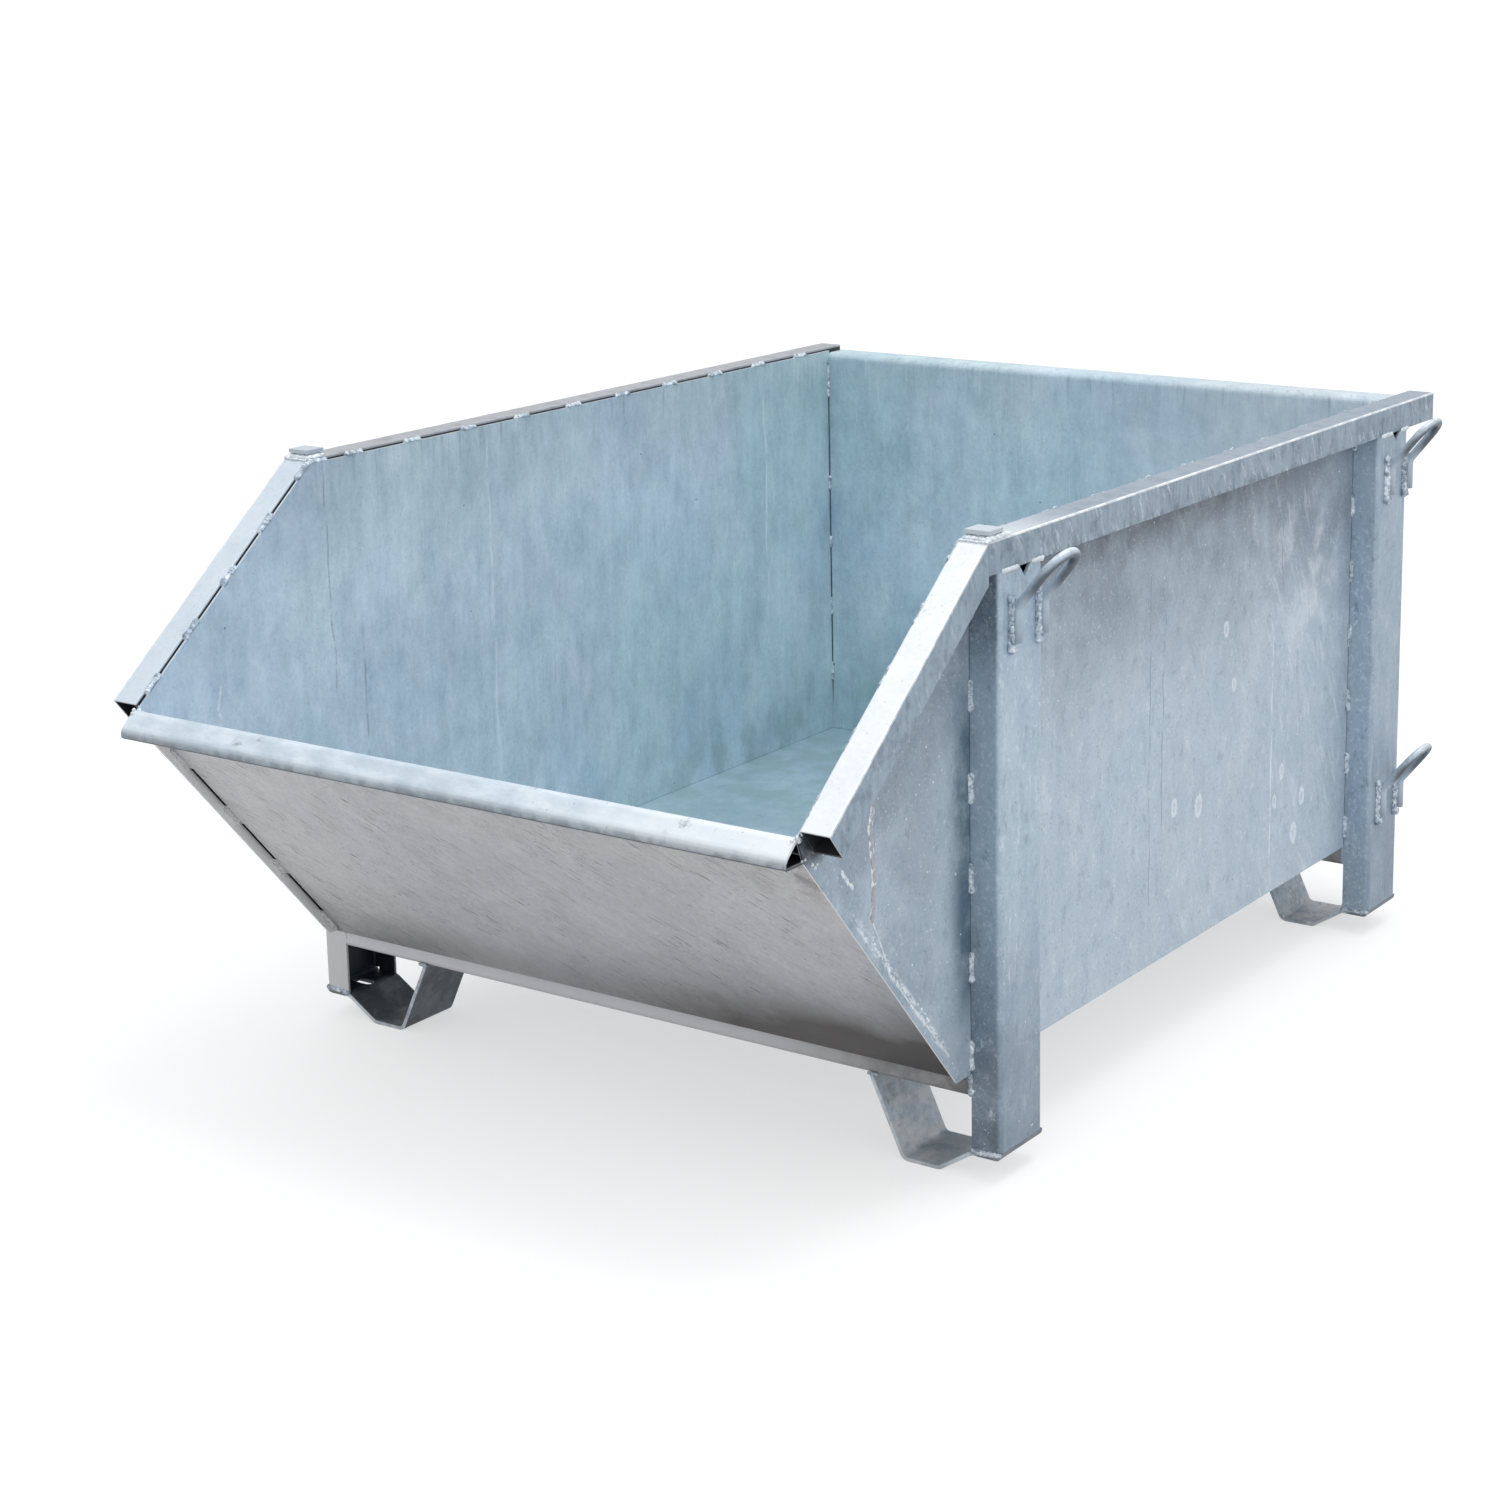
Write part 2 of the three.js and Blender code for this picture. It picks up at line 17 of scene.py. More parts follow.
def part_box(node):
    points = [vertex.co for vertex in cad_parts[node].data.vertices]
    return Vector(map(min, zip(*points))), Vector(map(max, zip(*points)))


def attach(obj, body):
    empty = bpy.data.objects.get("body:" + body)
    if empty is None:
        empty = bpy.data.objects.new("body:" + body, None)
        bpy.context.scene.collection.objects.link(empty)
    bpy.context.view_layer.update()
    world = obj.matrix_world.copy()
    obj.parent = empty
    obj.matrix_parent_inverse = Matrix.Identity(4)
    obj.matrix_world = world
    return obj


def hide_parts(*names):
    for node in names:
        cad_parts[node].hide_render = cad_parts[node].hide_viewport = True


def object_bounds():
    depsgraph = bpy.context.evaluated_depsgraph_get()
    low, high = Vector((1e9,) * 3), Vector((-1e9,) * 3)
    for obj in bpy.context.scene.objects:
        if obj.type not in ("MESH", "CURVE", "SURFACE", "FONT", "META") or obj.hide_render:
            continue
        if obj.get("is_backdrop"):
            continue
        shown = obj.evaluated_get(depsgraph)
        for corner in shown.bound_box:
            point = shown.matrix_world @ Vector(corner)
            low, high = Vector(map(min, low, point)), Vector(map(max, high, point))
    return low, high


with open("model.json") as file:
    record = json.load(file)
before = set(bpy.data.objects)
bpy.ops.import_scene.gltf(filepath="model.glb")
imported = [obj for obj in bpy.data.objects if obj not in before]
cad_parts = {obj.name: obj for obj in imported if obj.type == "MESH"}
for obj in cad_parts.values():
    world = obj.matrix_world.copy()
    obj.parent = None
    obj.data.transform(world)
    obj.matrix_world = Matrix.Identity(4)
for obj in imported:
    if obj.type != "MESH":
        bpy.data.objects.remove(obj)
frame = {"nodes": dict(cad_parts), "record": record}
nodes = frame["nodes"]
cad_low, cad_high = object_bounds()
scene = bpy.context.scene
print(len(nodes), "CAD nodes, box", tuple(cad_low), tuple(cad_high))

# %% [markdown]
# ## Camera
# A camera's place could be found by eye, but a product photograph fixes it well: corners whose
# places on the real object are known give the place, the angles and the focal length. The lens is
# long, about 70 mm, and it is shifted because the photograph was cropped off its centre.

# %% Camera
PHOTO_SIDE = 1500
focal_pixels = 2940.5
centre_pixels = (870.0, 606.8)
camera_place = (2.2772, -3.2698, 1.4878)
camera_heading = math.radians(33.852)
camera_tilt = math.radians(13.017)
camera_roll = math.radians(-0.713)

camera = bpy.data.objects.new("camera", bpy.data.cameras.new("camera"))
scene.collection.objects.link(camera)
camera.data.sensor_width = 36
camera.data.lens = camera.data.sensor_width * focal_pixels / PHOTO_SIDE
camera.data.shift_x = 0.5 - centre_pixels[0] / PHOTO_SIDE
camera.data.shift_y = centre_pixels[1] / PHOTO_SIDE - 0.5
turn = Matrix.Rotation(camera_heading, 4, "Z") @ Matrix.Rotation(math.pi / 2 - camera_tilt, 4, "X")
camera.matrix_world = Matrix.Translation(camera_place) @ turn @ Matrix.Rotation(camera_roll, 4, "Z")
scene.camera = camera
scene.view_settings.view_transform = "Standard"
print("camera", camera_place, "lens", round(camera.data.lens, 1))

# %% [markdown]
# ## Shader maths
# A material could be wired by hand, node by node. Here each socket is wrapped in a small class, so
# the maths of a mask reads as an ordinary expression and the nodes follow from it.

# %% Sockets as values


class Shade:
    """One output socket of a node tree, which Python's operators extend with Math nodes."""

    def __init__(self, tree, socket=None):
        self.tree = tree
        self.socket = socket

    def fill(self, made, values):
        """Gives a node's sockets their values or links."""
        for name, value in values.items():
            if isinstance(value, Shade):
                self.tree.links.new(value.socket, made.inputs[name])
            else:
                made.inputs[name].default_value = value

    def node(self, kind, settings=None, values=None, output=0):
        """Adds a node: its settings first, then the values or links of its sockets."""
        made = self.tree.nodes.new(kind)
        for name, value in (settings or {}).items():
            setattr(made, name, value)
        self.fill(made, values or {})
        return Shade(self.tree, made.outputs[output] if made.outputs else None)

    def maths(self, operation, *operands):
        return self.node("ShaderNodeMath", {"operation": operation}, dict(enumerate(operands)))

    def __add__(self, other):
        return self.maths("ADD", self, other)

    def __radd__(self, other):
        return self.maths("ADD", other, self)

    def __sub__(self, other):
        return self.maths("SUBTRACT", self, other)

    def __rsub__(self, other):
        return self.maths("SUBTRACT", other, self)

    def __mul__(self, other):
        return self.maths("MULTIPLY", self, other)

    def __rmul__(self, other):
        return self.maths("MULTIPLY", other, self)

    def __abs__(self):
        return self.maths("ABSOLUTE", self)

    def lowest(self, other):
        return self.maths("MINIMUM", self, other)

    def highest(self, other):
        return self.maths("MAXIMUM", self, other)

    def between(self, low, high):
        """0 at low and 1 at high, with a smooth step from one to the other."""
        values = {"Value": self, "From Min": low, "From Max": high}
        return self.node("ShaderNodeMapRange", {"interpolation_type": "SMOOTHSTEP"}, values)

    def vector(self, operation, other=(0, 0, 0), output=0):
        """Vector maths with another vector."""
        values = {0: self, 1: tuple(other)}
        return self.node("ShaderNodeVectorMath", {"operation": operation}, values, output)

    def scaled(self, x, y, z):
        """A vector times another, along each axis."""
        return self.vector("MULTIPLY", (x, y, z))

    def along(self, direction):
        """How far a vector reaches along a direction."""
        return self.vector("DOT_PRODUCT", direction, 1)

    def length(self):
        return self.vector("LENGTH", output=1)

    def turned(self, x, y, z):
        """A vector turned by these angles, in degrees."""
        angles = tuple(math.radians(angle) for angle in (x, y, z))
        return self.node("ShaderNodeMapping", {}, {"Vector": self, "Rotation": angles})

    def axes(self):
        """A vector's three numbers."""
        split = self.node("ShaderNodeSeparateXYZ", {}, {0: self})
        return [Shade(self.tree, socket) for socket in split.socket.node.outputs]

    def clouds(self, scale, detail=3.0, roughness=0.5):
        """Soft noise from 0 to 1 at these places."""
        values = {"Vector": self, "Scale": scale, "Detail": detail, "Roughness": roughness}
        return self.node("ShaderNodeTexNoise", {}, values)


print("a socket has", len([name for name in dir(Shade) if not name.startswith("__")]), "methods")

# %% Colours


def rgba(colour):
    """A colour for a socket: a link, or three levels from 0 to 255 as a picture editor shows them."""
    if isinstance(colour, Shade):
        return colour
    levels = [((level / 255 + 0.055) / 1.055) ** 2.4 for level in colour]
    return (*levels, 1.0)


def mixed(under, over, share, blend="MIX"):
    """One colour over another, at a share from 0 to 1, one of them being a link."""
    settings = {"data_type": "RGBA", "blend_type": blend}
    values = {0: share, 6: rgba(under), 7: rgba(over)}
    link = next(part for part in (under, over, share) if isinstance(part, Shade))
    return link.node("ShaderNodeMix", settings, values, output=2)


def coats(colour, *layers):
    """Coats of paint over a colour: each has its own colour and the share that it covers with."""
    for over, share in layers:
        colour = mixed(colour, over, share)
    return colour


print("mid grey is", round(rgba((128, 128, 128))[0], 3), "of white's light")

# %% [markdown]
# ## Light
# The real container stood under an even sky over darker ground. A sky picture could light it, but
# a plain world that brightens overhead and two broad lamps, at the side and above, give the same
# calm light: faces that look up are the brightest, the sides come next, and the sheet that leans
# over the ground is the darkest.

# %% World
horizon_level = 0.5
overhead_gain = 0.75
sky_tint = (0.97, 0.99, 1.0, 1.0)

world = bpy.data.worlds.new("studio")
world.use_nodes = True
scene.world = world
world.node_tree.nodes.clear()
sky = Shade(world.node_tree)


def seen(shade):
    """1 for rays from the camera, or from a shiny or clear surface, and 0 for light on matt ones."""
    path = shade.node("ShaderNodeLightPath").socket.node.outputs
    ray_kinds = ("Is Camera Ray", "Is Glossy Ray", "Is Transmission Ray")
    parts = [Shade(shade.tree, path[name]) for name in ray_kinds]
    return parts[0].highest(parts[1]).highest(parts[2])


height = sky.node("ShaderNodeTexCoord").axes()[2].highest(0.0)
strength = horizon_level + overhead_gain * height
lighting = sky.node("ShaderNodeBackground", {}, {"Color": sky_tint, "Strength": strength})
backdrop = sky.node("ShaderNodeBackground", {}, {"Color": (1.0, 1.0, 1.0, 1.0), "Strength": 1.0})
both = sky.node("ShaderNodeMixShader", {}, {0: seen(sky), 1: lighting, 2: backdrop})
sky.node("ShaderNodeOutputWorld", {}, {"Surface": both})
print("world from", horizon_level, "to", horizon_level + overhead_gain)

# %% Lamps


def lamp(name, place, size, watts):
    """A broad square lamp that looks at the middle of the container."""
    data = bpy.data.lights.new(name, "AREA")
    data.size = size
    data.energy = watts
    made = bpy.data.objects.new(name, data)
    made.location = place
    middle = (cad_low + cad_high) / 2
    made.rotation_euler = (middle - Vector(place)).to_track_quat("-Z", "Y").to_euler()
    scene.collection.objects.link(made)


lamp("side_lamp", (4.6, -1.2, 3.0), 2.6, 28)
lamp("top_lamp", (0.9, 0.2, 5.0), 2.5, 75)
print("two lamps")

# %% Floor


def new_piece(name, shape):
    """An object from a bmesh, at the origin, with its places in its mesh."""
    mesh = bpy.data.meshes.new(name)
    shape.to_mesh(mesh)
    shape.free()
    made = bpy.data.objects.new(name, mesh)
    scene.collection.objects.link(made)
    return made


floor_radius = 90.0
floor_grey = 0.45
full_white = 1.03
shape = bmesh.new()
bmesh.ops.create_circle(shape, cap_ends=True, segments=96, radius=floor_radius)
floor = new_piece("studio_floor", shape)
floor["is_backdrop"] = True

floor_material = bpy.data.materials.new("studio_floor")
floor_material.use_nodes = True
floor_shade = Shade(floor_material.node_tree)
floor_shade.fill(floor_material.node_tree.nodes["Principled BSDF"], {
    "Base Color": (floor_grey, floor_grey, floor_grey, 1.0),
    "Roughness": 0.9,
    "Specular IOR Level": 0.1,
    "Emission Strength": 1.0,
    "Emission Color": seen(floor_shade) * (full_white - floor_grey),
})
floor.data.materials.append(floor_material)
print("floor of", floor_radius, "m")

# %% [markdown]
# ## Places taken from the frame
# The marks and beads below could repeat the CAD's numbers. Their main places are read from the
# imported nodes instead, so those lie where they belong whatever the size; many smaller marks keep
# fixed numbers. The sloped edges run between two corners of the side sheet and of the rim, which are
# the lowest or foremost points of their meshes.

# %% Places and lengths
MM = 0.001
X, Y, Z = Vector((1, 0, 0)), Vector((0, 1, 0)), Vector((0, 0, 1))
SIDES = {"left": -1, "right": 1}


def points_of(node):
    """The corners of a node's mesh."""
    return [corner.co.copy() for corner in nodes[node].data.vertices]


def foremost(place):
    """The measure by which the foremost of several places is the least."""
    return place.y


def heading(start, end):
    """The direction from one place to another, seen from the side."""
    return Vector((0, end.y - start.y, end.z - start.z)).normalized()


side_low, side_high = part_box("right_side_panel")
half_body = side_high.x
half_inside = side_low.x
floor_under = side_low.z
wall_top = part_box("rear_wall")[1].z
floor_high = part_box("floor_panel")[1]
floor_top = floor_high.z
wall_face = floor_high.y
rim_low, rim_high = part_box("right_top_rim")
rim_width = rim_high.z - rim_low.z

side_points = points_of("right_side_panel")
side_tip = min(side_points, key=foremost)
side_foot = min(side_points, key=lambda place: (round(place.z, 4), place.y))
side_nose = min((place for place in side_points if place.z < side_tip.z - 1 * MM), key=foremost)
panel_points = points_of("front_panel")
panel_foot = min(panel_points, key=lambda place: place.z)
panel_up = heading(side_foot, side_nose)
panel_out = Vector((0, -panel_up.z, panel_up.y))
lip_under = min(place.z for place in panel_points if place.y < side_tip.y)
print("panel leans", round(math.degrees(math.atan2(-panel_up.y, panel_up.z)), 1), "degrees")

# %% Slope of the rims
rim_corner = Vector((0, rim_low.y, rim_high.z))
slope_tip = min(points_of("right_front_rim"), key=foremost)
slope_down = heading(rim_corner, slope_tip)
slope_length = math.hypot(slope_tip.y - rim_corner.y, slope_tip.z - rim_corner.z)
slope_out = Vector((0, slope_down.z, -slope_down.y))
print("the rims slope down over", round(slope_length, 3), "m")

# %% [markdown]
# ## Zinc
# Hot-dip zinc is a thin metal skin that ran down while it was liquid. It shows short upright
# runs, clouds, pimples where a drop froze, and dull marks from handling. One finish could be
# painted as a picture; noise does it without a seam on every face, and each sheet gets its own
# colours and its own marks on top.

# %% Patterns of zinc


def runs(where, width, length):
    """Soft upright runs of a width and a length."""
    return where.scaled(1.0, 1.0, width / length).clouds(1 / width, 5.0, 0.6)


def spots(where, pitch, size, share):
    """Round spots, sized against their pitch, at a share of points scattered a pitch apart."""
    near = where.node("ShaderNodeTexVoronoi", {}, {"Vector": where, "Scale": 1 / pitch})
    own = Shade(where.tree, near.socket.node.outputs["Color"]).axes()[0]
    return near.between(size, size * 0.5) * own.between(1 - share, 1.02 - share)


PALE_FLECKS, DARK_FLECKS = (0.60, 0.70), (0.40, 0.31)
PALE_SMEARS, DARK_SMEARS = (0.55, 0.70), (0.46, 0.32)


def grain(where):
    """Fine grain, whose highest parts are the pale flecks and whose lowest are the dark ones."""
    return where.turned(25, 15, 35).clouds(240.0, 3.0, 0.7)


def vector_of(x, y, z):
    """A vector from three numbers, of which one at least varies."""
    first = next(part for part in (x, y, z) if isinstance(part, Shade))
    return first.node("ShaderNodeCombineXYZ", {}, {0: x, 1: y, 2: z})


print("patterns: runs, spots and grain")

# %% Upright lines


def upright_line(where, along, centre, width, low, high, waver=6.0):
    """A thin upright line that wavers and breaks up. Its width and waver are in millimetres."""
    height = where.axes()[2]
    sway = vector_of(0.0, centre, height).clouds(9.0, 3.0) - 0.5
    gap = along - centre + sway * (waver * MM * 4)
    line = (gap * gap).between((width * 1.2 * MM) ** 2, (width * 0.3 * MM) ** 2)
    broken = vector_of(centre, 0.0, height).clouds(38.0, 3.0).between(0.36, 0.56)
    return line * broken * height.between(low, low + 0.04) * height.between(high, high - 0.02)


def upright_lines(where, *lines):
    """Several upright lines together."""
    return sum(upright_line(where, *line) for line in lines)


print("lines are measured in metres, their widths in millimetres")

# %% A zinc finish
GREENISH = (240, 252, 244)
BLUISH = (226, 239, 255)
FROZEN = (238, 243, 248)
PIT_GREY = (70, 78, 88)
DULL_FLECK = (112, 124, 138)
# Near black: painted shade in hollows, slits and open ends, and dirt low on the panel beside its seams.
SHADE_AND_SOOT = (26, 30, 37)
zinc_metallic = 0.3


def zinc(name, pale, dull, run_share=1.0, cloud_share=0.9, mottle_share=0.9, roughness=0.48,
         relief=0.3, green_share=0.3, fleck_share=1.0, marks=None):
    """A zinc finish between two colours. The marks add what one sheet alone shows."""
    material = bpy.data.materials.new(name)
    material.use_nodes = True
    tree = material.node_tree
    where = Shade(tree).node("ShaderNodeTexCoord", output=3)
    wide = runs(where, 30 * MM, 190 * MM) - 0.5
    fine = runs(where, 9 * MM, 40 * MM) - 0.5
    clouds = where.clouds(5.5, 5.0, 0.6) - 0.5
    blots = where.scaled(1.0, 1.0, 0.7).clouds(26.0, 6.0, 0.68) - 0.5
    mottle = where.clouds(150.0, 4.0, 0.7) - 0.5
    tone = 0.5 + (wide * 0.8 + fine * 0.35) * run_share + (clouds * 1.2 + blots * 1.4) * cloud_share
    tone = tone + mottle * (1.4 * mottle_share)
    tint = where.clouds(3.4, 4.0, 0.6)
    colour = mixed(dull, pale, tone)
    colour = mixed(colour, GREENISH, tint.between(0.45, 0.68) * green_share, "MULTIPLY")
    colour = mixed(colour, BLUISH, tint.between(0.55, 0.36) * green_share, "MULTIPLY")
    pimples = spots(where, 26 * MM, 0.075, 0.3)
    pits = spots(where.turned(20, 30, 40), 44 * MM, 0.05, 0.3)
    dusty = where.clouds(7.0, 3.0, 0.6).between(0.40, 0.60) * fleck_share
    dark_flecks = where.turned(35, 10, 50).clouds(210.0, 2.0, 0.6).between(0.60, 0.70)
    pale_flecks = where.turned(15, 40, 25).clouds(190.0, 2.0, 0.6).between(0.61, 0.71)
    colour = coats(
        colour,
        (FROZEN, pimples * 0.75),
        (PIT_GREY, pits * 0.6),
        (DULL_FLECK, dark_flecks * dusty * 0.38),
        (FROZEN, pale_flecks * (fleck_share - dusty * 0.5) * 0.32),
    )
    rough = roughness + clouds * 0.25 + mottle * 0.15
    height = fine * 0.7 + mottle * 0.5 + pimples * 1.2 - pits
    if marks:
        colour, height = marks(where, colour, height)
    relief_values = {"Strength": relief, "Distance": 1 * MM, "Height": height}
    bump = where.node("ShaderNodeBump", {}, relief_values)
    where.fill(tree.nodes["Principled BSDF"], {
        "Metallic": zinc_metallic,
        "Base Color": colour,
        "Roughness": rough,
        "Normal": bump,
    })
    return material


print("zinc is metal at a share of", zinc_metallic)

# %% [markdown]
# ## Inside
# Within, the sheets are blue-grey to green-grey, with thin drips that ran down from the rims, pale
# streaks, and a black seam in each rear corner. They could be scratched into one picture per
# sheet, but placed by height and position they stay on the steel from every side, and the floor,
# the walls and the inner faces of the side sheets share them without a seam.

# %% Marks inside


def inner_marks(where, colour, height):
    """The inside: drips, pale streaks and flecks, a worn patch, a tint to the rear, and painted shade
    under the rims.
    """
    x, y, z = where.axes()
    on_floor = z.between(floor_top + 3 * MM, floor_top + 1 * MM)
    rearward = y.between(-0.35, 0.55) * (1.0 - 0.85 * x.between(-0.05, 0.40))
    green = 0.15 + 0.35 * on_floor + 0.45 * where.clouds(3.0, 3.0).between(0.38, 0.62)
    colour = mixed(colour, (228, 246, 242), rearward * green, "MULTIPLY")
    streaks = runs(where, 4 * MM, 90 * MM).between(0.56, 0.70)
    streaks = streaks * where.clouds(6.0, 3.0).between(0.42, 0.58)
    fine_grain = grain(where)
    wall_grey = y.between(wall_face - 4 * MM, wall_face - 1 * MM) * x.between(-0.20, 0.35)
    pale_drips = upright_lines(where, (y, -0.098, 2.6, 0.25, 0.79), (y, 0.585, 2.4, 0.36, 0.79))
    pale_drips = pale_drips + upright_line(where, x, -0.31, 1.8, 0.3, 0.75) * 0.4
    dark_drips = upright_lines(where, (y, -0.372, 2.0, 0.28, 0.56), (y, -0.431, 1.6, 0.45, 0.78))
    dark_drips = dark_drips + upright_line(where, y, -0.106, 1.2, 0.3, 0.6) * 0.6
    under_rim = z.between(0.70, 0.79) * runs(where, 9 * MM, 150 * MM).between(0.55, 0.72)
    rim_drips = z.between(0.70, 0.785) * runs(where, 6 * MM, 80 * MM).between(0.57, 0.69)
    patch = vector_of(0.0, (y - 0.08) * 1.3, z - 0.35).length()
    worn = patch.between(0.12, 0.02) * runs(where, 12 * MM, 60 * MM).between(0.35, 0.65)
    low = z.between(0.30, 0.15) * y.between(0.0, 0.5) * where.clouds(14.0, 4.0).between(0.42, 0.6)
    seam = abs(x).between(half_inside - 2.4 * MM, half_inside - 0.9 * MM)
    seam = seam * y.between(wall_face - 2.4 * MM, wall_face - 0.9 * MM)
    seam = seam * z.between(0.16, 0.24) * z.between(0.745, 0.72)
    colour = coats(
        colour,
        ((236, 243, 247), streaks * 0.35),
        ((240, 246, 250), fine_grain.between(*PALE_FLECKS) * 0.32),
        ((108, 128, 144), fine_grain.between(*DARK_FLECKS) * 0.26),
        ((222, 222, 222), wall_grey * 0.22),
        ((118, 142, 158), on_floor * 0.35),
        ((232, 238, 243), pale_drips * 0.55 + worn * 0.35 + rim_drips * 0.35),
        # Dark drips, and painted shade under the rims: streaky just below them and faint further down.
        ((92, 112, 130), dark_drips * 0.36 + under_rim * 0.3 + z.between(0.62, 0.78) * 0.16),
        ((46, 60, 66), seam * 0.85),
        ((134, 160, 160), low * 0.4),
    )
    return colour, height + pale_drips * 0.8


print("the floor's top is at", round(floor_top, 4), "m")

# %% [markdown]
# ## Side sheets
# Outside, the side sheets are lighter, with ovals where drops of zinc dried, brushed swirls
# towards the rear, a smoky band, painted shade high up and a painted shadow with some dirt under
# the rim, and a black patch at the nose. The ovals could all be left to chance, but the largest are
# easy to recognise, so those are listed one by one and the small ones are scattered.

# %% Hollow posts, the panel's depth, and ovals
POST_STEEL = 4 * MM
front_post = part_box("front_right_post")
rear_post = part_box("rear_right_post")
post_web = rim_high.x - POST_STEEL
DRIED_DROPS = (
    (0.151, 0.322, 0.0115), (0.080, 0.337, 0.009), (0.407, 0.306, 0.008), (0.474, 0.253, 0.0095),
    (0.385, 0.267, 0.007), (0.449, 0.204, 0.011), (0.252, 0.469, 0.007), (0.226, 0.552, 0.008),
)


def post_hollow(x, y):
    """1 inside the folded posts, between their flanges and short of their webs."""
    spans = 0.0
    for low, high in (front_post, rear_post):
        past_front = y.between(low.y + 3.0 * MM, low.y + 3.7 * MM)
        spans = spans + past_front * y.between(high.y - 3.0 * MM, high.y - 3.7 * MM)
    return spans * abs(x).between(post_web + 0.7 * MM, post_web + 0.2 * MM)


def panel_depth(where):
    """How far a place lies before the front panel's outer face: below zero it is in the sheet."""
    return where.along(panel_out) - panel_foot.dot(panel_out)


print(len(DRIED_DROPS), "ovals set by hand")

# %% Marks that the side sheets show outside


def dried_ovals(where, y, z):
    """Dried drops as upright ovals with a greyer middle: the scattered ones and those listed one by
    one.
    """
    flattened = where.scaled(1.0, 1.0, 0.42)
    ovals = spots(flattened, 62 * MM, 0.11, 0.3)
    middles = spots(flattened, 62 * MM, 0.06, 0.3)
    uneven = (where.clouds(120.0, 3.0) - 0.5) * 0.5
    for drop_y, drop_z, wide in DRIED_DROPS:
        near = vector_of(0.0, (y - drop_y) * (1 / wide), (z - drop_z) * (0.62 / wide)).length()
        near = near + uneven
        ovals = ovals.highest(near.between(1.05, 0.80) * (0.45 + 0.55 * near.between(0.35, 0.60)))
    return ovals, middles


def brushed(where):
    """Swirls as of a broad brush, drawn out upright and leaning."""
    x, y, z = where.axes()
    sway = where.clouds(4.0, 2.0) * 0.10
    strokes = vector_of(x, (y + z * 0.42 + sway) * 95.0, (z - y * 0.42) * 19.0)
    strokes = strokes.clouds(1.0, 5.0, 0.65).between(0.50, 0.74)
    return strokes * where.scaled(1.0, 1.0, 0.7).clouds(6.5, 3.0).between(0.44, 0.60)


def shaded_parts(where, y, z):
    """What darkens a side sheet outside, as coats: painted shade high up, darker towards the nose, and
    a painted shadow with some dirt under the rim.
    """
    cloudy = where.clouds(9.0, 5.0, 0.65).between(0.38, 0.62)
    darkening = where.clouds(22.0, 5.0, 0.7).between(0.35, 0.6)
    under_rim = z.between(0.680, 0.757) * y.between(0.64, 0.20) * (0.6 + darkening * 0.4)
    # Painted shade in the band high up, darker towards the nose, and a painted shadow under the rim,
    # made uneven for the dirt in it.
    return (
        ((100, 113, 128), z.between(0.46, 0.72) * (0.36 + cloudy * 0.34)),
        ((104, 120, 136), y.between(-0.38, -0.62) * (0.20 + cloudy * 0.32)),
        ((72, 74, 82), under_rim * 0.80),
    )


def nose_parts(where, y, z):
    """The darkened tip, the splash of zinc along the panel's seam and the shade before the post."""
    dark_tip = z.between(0.484, 0.503) * y.between(-0.728, -0.748)
    dark_tip = dark_tip * (0.70 + 0.26 * where.clouds(80.0, 5.0, 0.7).between(0.42, 0.58))
    ahead = panel_depth(where)
    splash = ahead.between(-9 * MM, -3 * MM) * ahead.between(7 * MM, 3 * MM)
    splash = splash * z.between(0.16, 0.20) * z.between(0.44, 0.36)
    splash = splash * vector_of(0.0, ahead * 2.0, z).clouds(55.0, 5.0, 0.75).between(0.46, 0.58)
    seam_shade = y.between(-0.495, -0.45) * y.between(-0.38, -0.42)
    seam_shade = seam_shade * z.between(0.19, 0.27) * z.between(0.66, 0.55)
    seam_shade = seam_shade * (0.50 + 0.40 * where.clouds(18.0, 5.0, 0.7).between(0.38, 0.6))
    return (
        ((50, 50, 58), dark_tip),
        ((236, 241, 246), splash * 0.75),
        ((76, 100, 118), seam_shade),
    )


print("ovals, swirls, shade and stains")

# %% Side sheets, outside and inside


